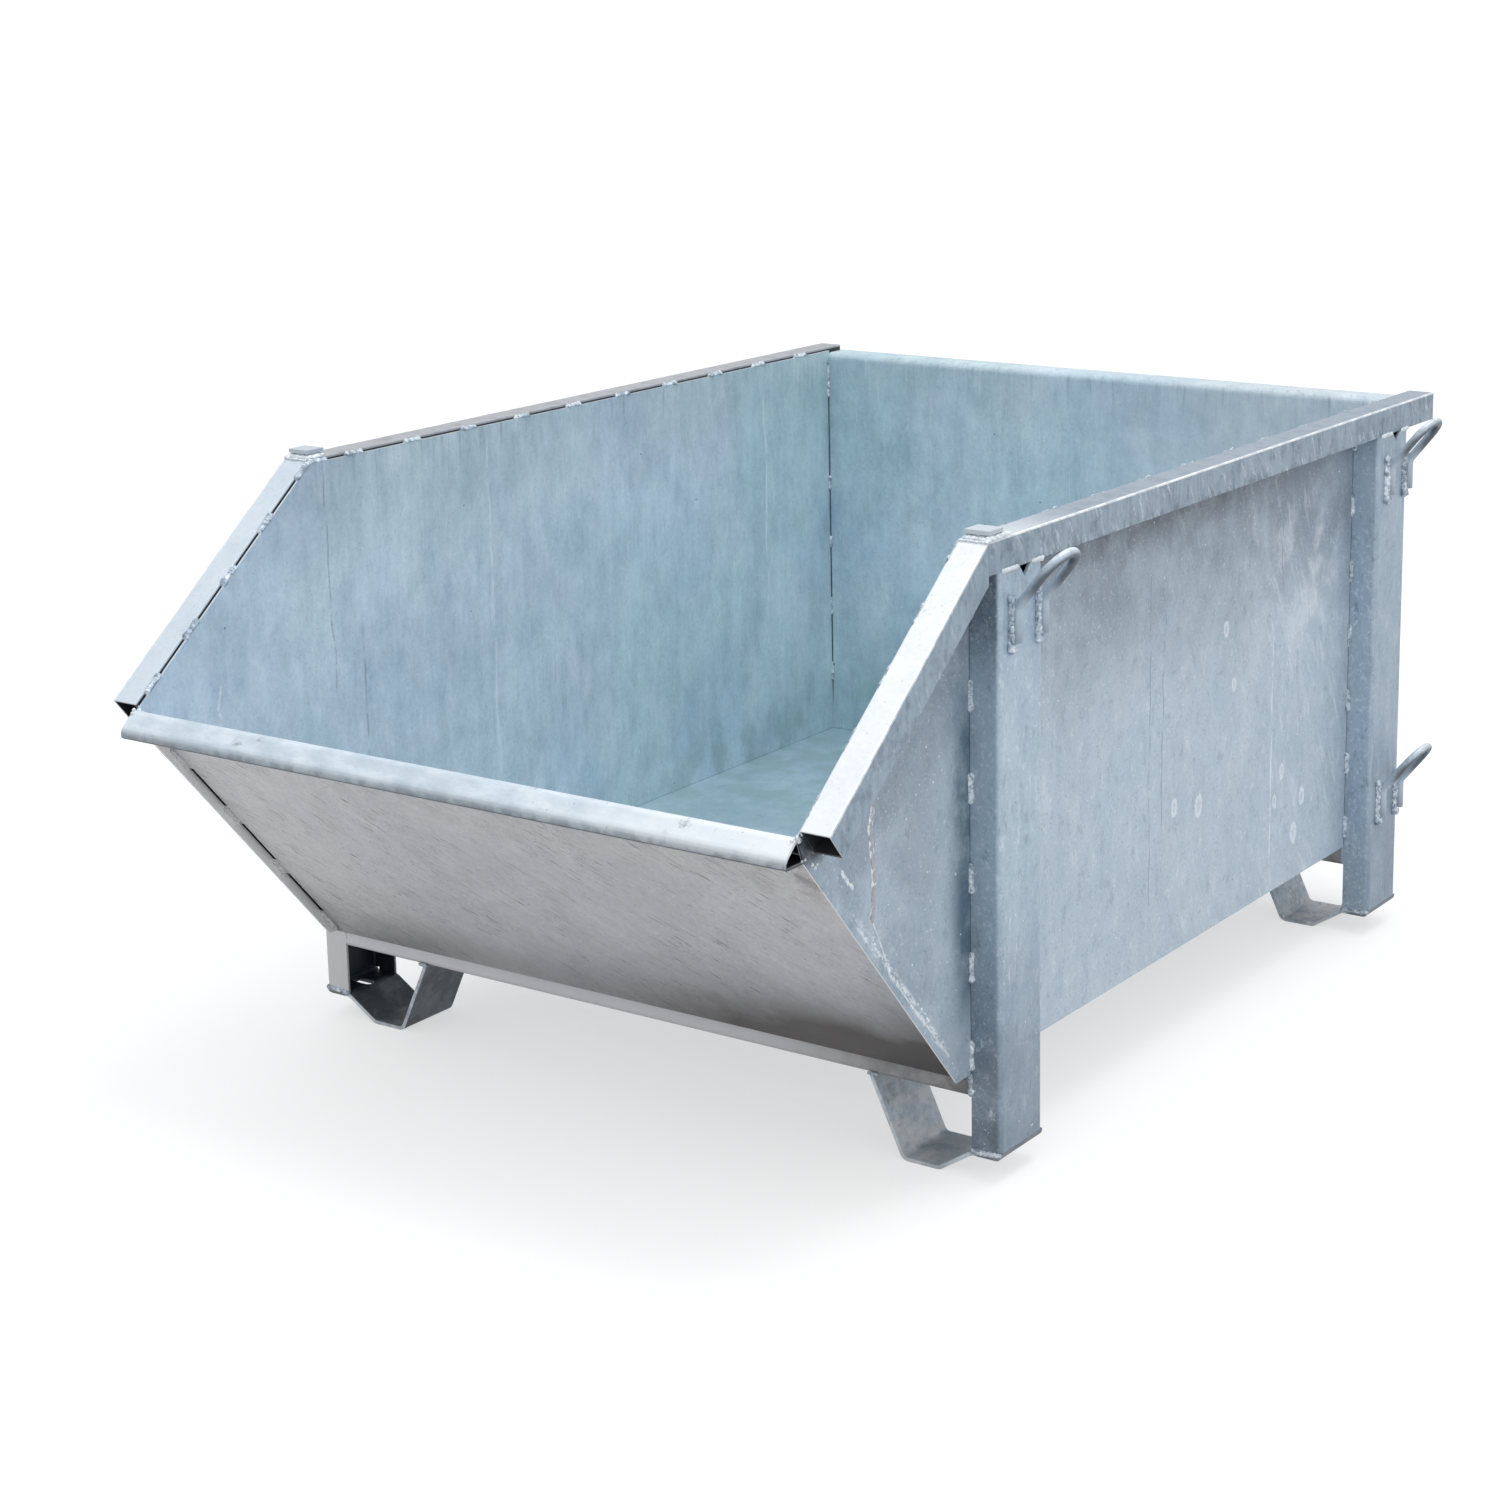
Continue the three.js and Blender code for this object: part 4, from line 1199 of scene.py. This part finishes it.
# %% Front panel seams
panel_leg = 4.6 * MM
panel_run = (side_nose - side_foot).length - 30 * MM
panel_row = ((8, 44), (140, 39), (267, 32), (396, 44))
for word, side in SIDES.items():
    shape = bmesh.new()
    start = Vector((side * half_inside, panel_foot.y, panel_foot.z))
    stitches = [(panel_run - place * MM - run * MM, run * MM) for place, run in panel_row]
    line_of_beads(shape, start, panel_up, X * -side, panel_out, stitches, panel_leg)
    weld_piece(f"{word}_front_panel_beads", shape, f"{word}_front_panel_weld", finish=panel_bead)
print("two front panel seams over", round(panel_run, 3), "m")

# %% [markdown]
# ## Front panel
# Between its stitches the real panel stands a little off the side sheets, so each seam shows long
# black slits. They could be painted, but a slit is a hollow: the panel's own mesh is cut across at
# the ends of each slit and along its sides, and the small faces in between are pushed in. Their
# inside is also painted black, as painted shade.

# %% Front panel with its slits
slit_near, slit_far = 0.5 * MM, 7.2 * MM
slit_depth = 3 * MM
slit_rows = ((53, 86), (180, 86), (300, 94))
same_place = 0.01 * MM
same_face = 0.1 * MM
shape = bmesh.new()
shape.from_mesh(nodes["front_panel"].data)
bmesh.ops.remove_doubles(shape, verts=shape.verts, dist=same_place)


def cut_across(shape, place, direction):
    """Cuts every face that a plane crosses, and takes nothing away."""
    parts = shape.verts[:] + shape.edges[:] + shape.faces[:]
    bmesh.ops.bisect_plane(shape, geom=parts, plane_co=place, plane_no=direction)


slit_ends = []
for place, run in slit_rows:
    top = panel_foot.dot(panel_up) + panel_run - place * MM
    slit_ends.append((top - run * MM, top))
for ends in slit_ends:
    for end in ends:
        cut_across(shape, panel_up * end, panel_up)
for side in SIDES.values():
    for inset in (slit_near, slit_far):
        cut_across(shape, X * side * (half_inside - inset), X)
print("cut for", 2 * len(slit_ends), "slits")

# %% Slits pushed in
outer_face = panel_foot.dot(panel_out)
pushed = []
for face in shape.faces:
    middle = face.calc_center_median()
    between_sides = slit_near < half_inside - abs(middle.x) < slit_far
    between_ends = any(low < middle.dot(panel_up) < high for low, high in slit_ends)
    if between_sides and between_ends and abs(middle.dot(panel_out) - outer_face) < same_face:
        pushed.append(face)
made = bmesh.ops.extrude_face_region(shape, geom=pushed)["geom"]
moved = [part for part in made if isinstance(part, bmesh.types.BMVert)]
bmesh.ops.translate(shape, verts=moved, vec=-panel_out * slit_depth)
bmesh.ops.delete(shape, geom=pushed, context="FACES_ONLY")
steel_piece("front_panel_sheet", shape, slot_finish["front_sheet"], "front_sheet", "front_panel")
print(len(pushed), "faces pushed in by", slit_depth, "m")

# %% [markdown]
# ## Inner corner seams
# Inside, the rear wall is welded to the side sheets with a few short stitches, and the rest of the
# corner stays black. A line of metal all the way down would be easier, but the dark corner with its
# pale stitches is what the eye meets first inside, so they are beads at their own heights.

# %% Inner corner seams
corner_leg = 3.6 * MM
corner_row = ((0, 62), (196, 24), (300, 20), (408, 30), (520, 34))
for word, side in SIDES.items():
    shape = bmesh.new()
    start = Vector((side * half_inside, wall_face, wall_top - 14 * MM))
    stitches = [(place * MM, run * MM) for place, run in corner_row]
    line_of_beads(shape, start, -Z, X * -side, -Y, stitches, corner_leg)
    weld_piece(f"{word}_rear_wall_beads", shape, f"{word}_rear_wall_weld")
print("two inner corner seams")

# %% [markdown]
# ## Rim stitches
# The rims stand a little off the side sheets, and short stitches bridge the gap from the sheet's
# edge to the rim. Between them the gap stays open, and the rim's face over it carries painted shade.
# They could be left to a texture, but they catch the light along the whole top edge, so they are
# beads like the others.

# %% Rim stitches
rim_leg = 5.2 * MM
rim_ripple = 3.4 * MM
sheet_drop = 5 * MM
level_run = rim_high.y - rim_corner.y - 50 * MM
level_row = [(0, 40 * MM)] + row(72 * MM, 118 * MM, 37 * MM, level_run)
slope_row = [(0, 34 * MM)] + row(93 * MM, 91.5 * MM, 35 * MM, slope_length)
for word, side in SIDES.items():
    corner = Vector((side * rim_low.x, rim_corner.y, rim_corner.z))
    for name, stitches, along, up in (
            ("top", level_row, Y, Z), ("front", slope_row, slope_down, slope_out)):
        shape = bmesh.new()
        start = corner - up * sheet_drop
        for place, run in stitches:
            bead(shape, start + along * place, along, X * -side, up, run, rim_leg, ripple=rim_ripple)
        weld_piece(f"{word}_{name}_rim_beads", shape)
print("four rims stitched")

# %% [markdown]
# ## Eyes
# Each eye is one length of 12 mm round bar, bent twice at the elbows and once round the bow. A
# curve with a round bevel would give it in one step, but a skin from ring to ring keeps its ends
# plain and closed. The bar stands just off the post, and its beads reach it.

# %% Centre line of an eye
BAR_SIDES = 20
BAR_GAP = 0.3 * MM
LEG_SPACING = 62 * MM
eye_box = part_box("front_right_lifting_eye")
bar_radius = (eye_box[1].y - eye_box[0].y - LEG_SPACING) / 2


def bar_line(low, high, side):
    """The centre line of an eye in its box: up the rear leg, round the bow and down the front one."""
    x = low.x + bar_radius if side > 0 else high.x - bar_radius
    front, rear = low.y + bar_radius, high.y - bar_radius
    lean = math.radians(39)
    straight, leg, elbow = 52.9 * MM, 42 * MM, 14 * MM
    out = Vector((side * math.sin(lean), 0, math.cos(lean)))
    corner = Vector((x, 0, low.z + leg))
    profile = [Vector((x, 0, low.z))]
    centre = corner - Z * elbow * math.tan(lean / 2) + X * side * elbow
    for step in range(9):
        angle = lean * step / 8
        profile.append(centre + Vector((-side * math.cos(angle), 0, math.sin(angle))) * elbow)
    profile.append(corner + out * straight)
    bow_radius = (rear - front) / 2
    middle = (rear + front) / 2
    line = [place + Y * rear for place in profile]
    for step in range(1, 24):
        angle = math.pi * step / 24
        reach = straight + bow_radius * math.sin(angle)
        line.append(corner + out * reach + Y * (middle + bow_radius * math.cos(angle)))
    return line + [place + Y * front for place in reversed(profile)]


def bar_rings(line, radius):
    """Rings round a centre line, without twist."""
    rings = []
    normal = X.copy()
    for i, place in enumerate(line):
        ahead = line[min(i + 1, len(line) - 1)] - line[max(i - 1, 0)]
        ahead.normalize()
        normal = (normal - ahead * normal.dot(ahead)).normalized()
        across = ahead.cross(normal)
        ring = []
        for k in range(BAR_SIDES):
            angle = 2 * math.pi * k / BAR_SIDES
            ring.append(place + (normal * math.cos(angle) + across * math.sin(angle)) * radius)
        rings.append(ring)
    return rings


print("round bar of", round(2 * bar_radius / MM, 1), "mm")

# %% Eyes and the beads along their legs


def leg_beads(shape, web, y, foot, side):
    """A broad bead before a leg, a narrow one behind it, and lumps at both ends and between."""
    toe = Vector((web, y - 0.55 * bar_radius, foot - 6 * MM))
    bead(shape, toe, Z, -Y, X * side, 62 * MM, 7.6 * MM, blob=0.15, ripple=8.5 * MM)
    heel = Vector((web, y + 0.6 * bar_radius, foot))
    bead(shape, heel, Z, Y, X * side, 36 * MM, 3.6 * MM, blob=0.1, ripple=2.6 * MM)
    low_end = (web + side * 2.4 * MM, y - 5 * MM, foot - 6 * MM)
    drop(shape, low_end, 8.0 * MM, (0.75, 1.0, 0.95), 0.3)
    high_end = (web + side * 3.0 * MM, y - 7.5 * MM, foot + 53 * MM)
    drop(shape, high_end, 5.6 * MM, (0.85, 1.0, 1.0), 0.3)
    for lump in range(4):
        rise = foot + (3 + 14 * lump) * MM
        spot = (web + side * 3.8 * MM, y - dice.uniform(5.5, 8) * MM, rise)
        drop(shape, spot, dice.uniform(2.8, 4.2) * MM, (0.8, 1, 1.3), 0.35)


eye_nodes = [name for name in nodes if name.endswith("_eye")]
for name in eye_nodes:
    side = 1 if "right" in name else -1
    low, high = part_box(name)
    shape = bmesh.new()
    skin(shape, bar_rings(bar_line(low, high, side), bar_radius))
    for face in shape.faces:
        face.smooth = len(face.verts) == 4
    steel_piece(f"{name}_bar", shape, slot_finish["eye_bar"], "eye_bar", name)
    web = low.x - BAR_GAP if side > 0 else high.x + BAR_GAP
    for leg, y in (("front", low.y + bar_radius), ("rear", high.y - bar_radius)):
        shape = bmesh.new()
        leg_beads(shape, web, y, low.z, side)
        weld_piece(f"{name}_{leg}_beads", shape, f"{name}_{leg}_weld")
print(len(eye_nodes), "eyes")

# %% [markdown]
# ## Rim caps
# A small plate closes the corner where the level and the sloped rim meet. It sits on a lumpy weld
# that was run round its foot. A block would look cast, so the weld is a plain core with a bead
# along each side and lumps where the beads meet.

# %% Welds under the rim caps


def cap_core(shape, core_low, core_high):
    """The plain block of weld metal between the rim and its cap."""
    middle = (core_low + core_high) / 2
    span = core_high - core_low
    place = Matrix.Translation(middle) @ Matrix.Diagonal((*span, 1.0))
    bmesh.ops.create_cube(shape, size=1.0, matrix=place)


def cap_beads(shape, core_low, core_high, foot):
    """A bead along each side of the core, with lumps at its start and along it."""
    x0, y0, x1, y1 = core_low.x, core_low.y, core_high.x, core_high.y
    corners = [Vector((*place, foot)) for place in ((x0, y0), (x1, y0), (x1, y1), (x0, y1))]
    for start, end in zip(corners, corners[1:] + corners[:1]):
        along = (end - start).normalized()
        away = along.cross(Z)
        length = (end - start).length
        bead(shape, start, along, away, Z, length, 5.2 * MM, blob=0.25, ripple=6 * MM)
        drop(shape, start + Z * 1.6 * MM, 4.8 * MM, (1, 1, 0.7), 0.35)
        for _ in range(3):
            spot = start + along * dice.uniform(0, length) + away * 2.2 * MM + Z * 1.4 * MM
            drop(shape, spot, dice.uniform(2.4, 3.8) * MM, (1, 1, 0.8), 0.35)


def cap_lumps(shape, side, core_low, core_high, foot):
    """The roll before the core, lumps down its outer side, and those where the two rims meet."""
    roll = Vector((core_low.x - 1 * MM, core_low.y - 2.5 * MM, foot + 1.4 * MM))
    width = core_high.x - core_low.x + 2 * MM
    ridge(shape, roll, roll + X * width, 4.4 * MM, (1.0, 1.1, 0.7), 0.7)
    outer_side = side * (rim_high.x - 5 * MM)
    first, last = core_low.y, core_high.y
    for y, offset, size in ((first, 0, 5.6), (first, 10, 4.4), (last, -6, 5.2), (last, 3, 6.4),
                            (last, 11, 4.6), (last, 18, 3.2)):
        spot = (outer_side, y + offset * MM, foot + 1.4 * MM)
        drop(shape, spot, size * MM, (0.85, 1.1, 0.85), 0.35)
    for step in range(9):
        across = rim_low.x + (2.5 + 4.3 * step) * MM
        spot = (side * across, rim_corner.y - 0.5 * MM, foot - 0.4 * MM)
        drop(shape, spot, dice.uniform(2.4, 3.4) * MM, (1.2, 1.0, 0.5), 0.3)
    for inset, offset, size in ((4, 3, 5.0), (6, 9, 4.2)):
        spot = (side * (rim_high.x - inset * MM), rim_corner.y + offset * MM, foot + 0.6 * MM)
        drop(shape, spot, size * MM, (1, 1.2, 0.6), 0.35)


core_inset = Vector((2.5 * MM, 2.5 * MM, 0))
for word, side in SIDES.items():
    low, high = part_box(f"{word}_rim_cap")
    foot = rim_high.z
    core_low = Vector((low.x, low.y, foot)) + core_inset
    core_high = Vector((high.x, high.y, low.z)) - core_inset
    shape = bmesh.new()
    cap_core(shape, core_low, core_high)
    cap_beads(shape, core_low, core_high, foot)
    cap_lumps(shape, side, core_low, core_high, foot)
    weld_piece(f"{word}_rim_cap_beads", shape, f"{word}_rim_cap_weld", finish=white_bead)
print("two rim caps welded")

# %% [markdown]
# ## Welds on posts and feet
# Where two faces lie flush, the weld stands up as a ridge instead of filling a corner. A strip
# with a bumpy finish would look smooth along its outline, so a row of overlapping lumps gives
# the ridge its scales.

# %% Ends of posts and feet
strap_flat = (1.0, 0.6, 0.8)
for station in ("front", "rear"):
    for word, side in SIDES.items():
        low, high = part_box(f"{station}_{word}_post")
        shape = bmesh.new()
        for first, last in ((8, 39), (76, 96)):
            start = Vector((rim_high.x * side, low.y + first * MM, high.z))
            end = Vector((rim_high.x * side, low.y + last * MM, high.z))
            ridge(shape, start, end, 3.9 * MM, (0.5, 1.0, 0.85), 0.7)
        weld_piece(f"{station}_{word}_post_end_beads", shape, finish=white_bead)
        shape = bmesh.new()
        start = Vector((side * (half_body + 2 * MM), low.y, low.z + 1 * MM))
        end = Vector((side * (rim_high.x - 3 * MM), low.y, low.z + 2 * MM))
        ridge(shape, start, end, 4.4 * MM, strap_flat, 0.5)
        foot_low, foot_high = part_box(f"{station}_{word}_foot")
        beam_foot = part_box(f"{station}_cross_beam")[0].z
        inner = min(abs(foot_low.x), abs(foot_high.x))
        for y in (foot_low.y, foot_high.y):
            start = Vector((side * (inner + 1 * MM), y, beam_foot))
            end = Vector((side * (inner + 12 * MM), y, beam_foot))
            ridge(shape, start, end, 3.2 * MM, strap_flat, 0.6)
        ahead = low.y if station == "front" else high.y
        for _ in range(7 if side > 0 else 2):
            rise = beam_foot + dice.uniform(2, 34) * MM
            spot = (side * (half_body + dice.uniform(-2, 1.5) * MM), ahead, rise)
            drop(shape, spot, dice.uniform(2.4, 4.6) * MM, (0.9, 0.6, 1.0), 0.3)
        weld_piece(f"{station}_{word}_foot_beads", shape)
print("posts and feet welded")

# %% [markdown]
# ## Runs and spatter
# Metal ran down each side sheet behind the rim's tip and along the panel's seam, and froze, and
# spatter lies all over under the zinc. Painted on, both would vanish when seen along the sheet,
# so the long run is a ridge of lumps with a pinkish core, and each splash is a lump of its own.

# %% Frozen runs of metal
long_melt = ((-641.4, 528), (-648.1, 500.5), (-641.3, 439.7), (-646.3, 393.7))
short_melt = ((-704.8, 465.8), (-694, 452), (-683.6, 442.3))
tail_melt = ((-646, 392), (-626, 352), (-612, 318))
seam_melt = ((-612, 318), (-560, 258), (-520, 214), (-486, 176))


def melt(shape, line, face, size):
    """A run of metal that froze on a face: a low ridge along a line of points (y, z)."""
    places = [Vector((face, y * MM, z * MM)) for y, z in line]
    for start, end in zip(places, places[1:]):
        ridge(shape, start, end, size * MM, (0.35, 0.8, 1.5), 0.9)


print("runs through", len(long_melt + short_melt + tail_melt + seam_melt), "points")

# %% Spatter and lip ends
TIP_LUMPS = (
    (-789.7, 529.2, 3.2), (-786, 525, 3.6), (-781, 531, 2.6), (-781.2, 500.3, 2.0),
    (-775.5, 500.4, 1.9), (-762.4, 491.1, 2.4), (-756.8, 486.1, 2.8), (-753, 489, 2.0),
    (-741.1, 497.8, 1.8),
)
LIP_LUMPS = ((-795, 527.0, 2.6), (-789.5, 526, 3.2), (-783, 528, 2.8), (-778, 524, 2.2))
fine_flat = (0.6, 1.0, 1.2)


def on_nose(y, z):
    """Whether a place lies well within the nose of a side sheet, between its two sloped edges."""
    return 0.15 + (-0.45 - y) * 1.17 < z < 0.80 + (y + 0.455) * 0.80 - 0.06


for word, side in SIDES.items():
    shape = bmesh.new()
    face = side * half_body
    melt(shape, long_melt, face - side * 1.2 * MM, 6.2)
    melt(shape, short_melt, face - side * 0.6 * MM, 3.2)
    melt(shape, tail_melt, face, 1.5)
    melt(shape, seam_melt, face, 1.2)
    for _ in range(34):
        spot = panel_foot + panel_up * dice.uniform(0.03, 0.36) + panel_out * dice.uniform(-8, 4) * MM
        drop(shape, (face, spot.y, spot.z), dice.uniform(0.9, 2.2) * MM, (0.45, 1.3, 1.2), 0.35)
    core = bmesh.new()
    melt(core, long_melt, face + side * 0.2 * MM, 3.8)
    weld_piece(f"{word}_side_melt", core, finish=pink_bead)
    for _ in range(46):
        y = dice.uniform(-0.74, -0.44)
        z = dice.uniform(0.16, 0.72)
        if on_nose(y, z):
            drop(shape, (face, y, z), dice.uniform(0.8, 1.7) * MM, (0.6, 1.0, 1.1))
    for _ in range(60):
        spot = (face, dice.uniform(-0.33, 0.60), dice.uniform(0.15, 0.74))
        drop(shape, spot, dice.uniform(0.7, 1.5) * MM, fine_flat)
    for _ in range(26):
        spot = (side * rim_high.x, dice.uniform(-0.43, -0.345), dice.uniform(0.05, 0.74))
        drop(shape, spot, dice.uniform(0.7, 1.4) * MM, fine_flat)
    for y, z, size in TIP_LUMPS:
        drop(shape, (face, y * MM, z * MM), size * MM, (0.7, 1.0, 1.0), 0.3)
    for y, z, size in LIP_LUMPS:
        drop(shape, (side * half_inside, y * MM, z * MM), size * MM, (0.9, 1.0, 0.8), 0.3)
    weld_piece(f"{word}_side_spatter", shape, finish=white_bead)
print("runs and spatter on two side sheets")

# %% [markdown]
# ## Sizes
# Nothing that is seen may reach beyond the CAD part. How far the seen pieces reach could be
# measured by hand after each change, but the script knows both boxes, so it prints both.

# %% Sizes
low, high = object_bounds()
print("visual box", tuple(low), tuple(high))
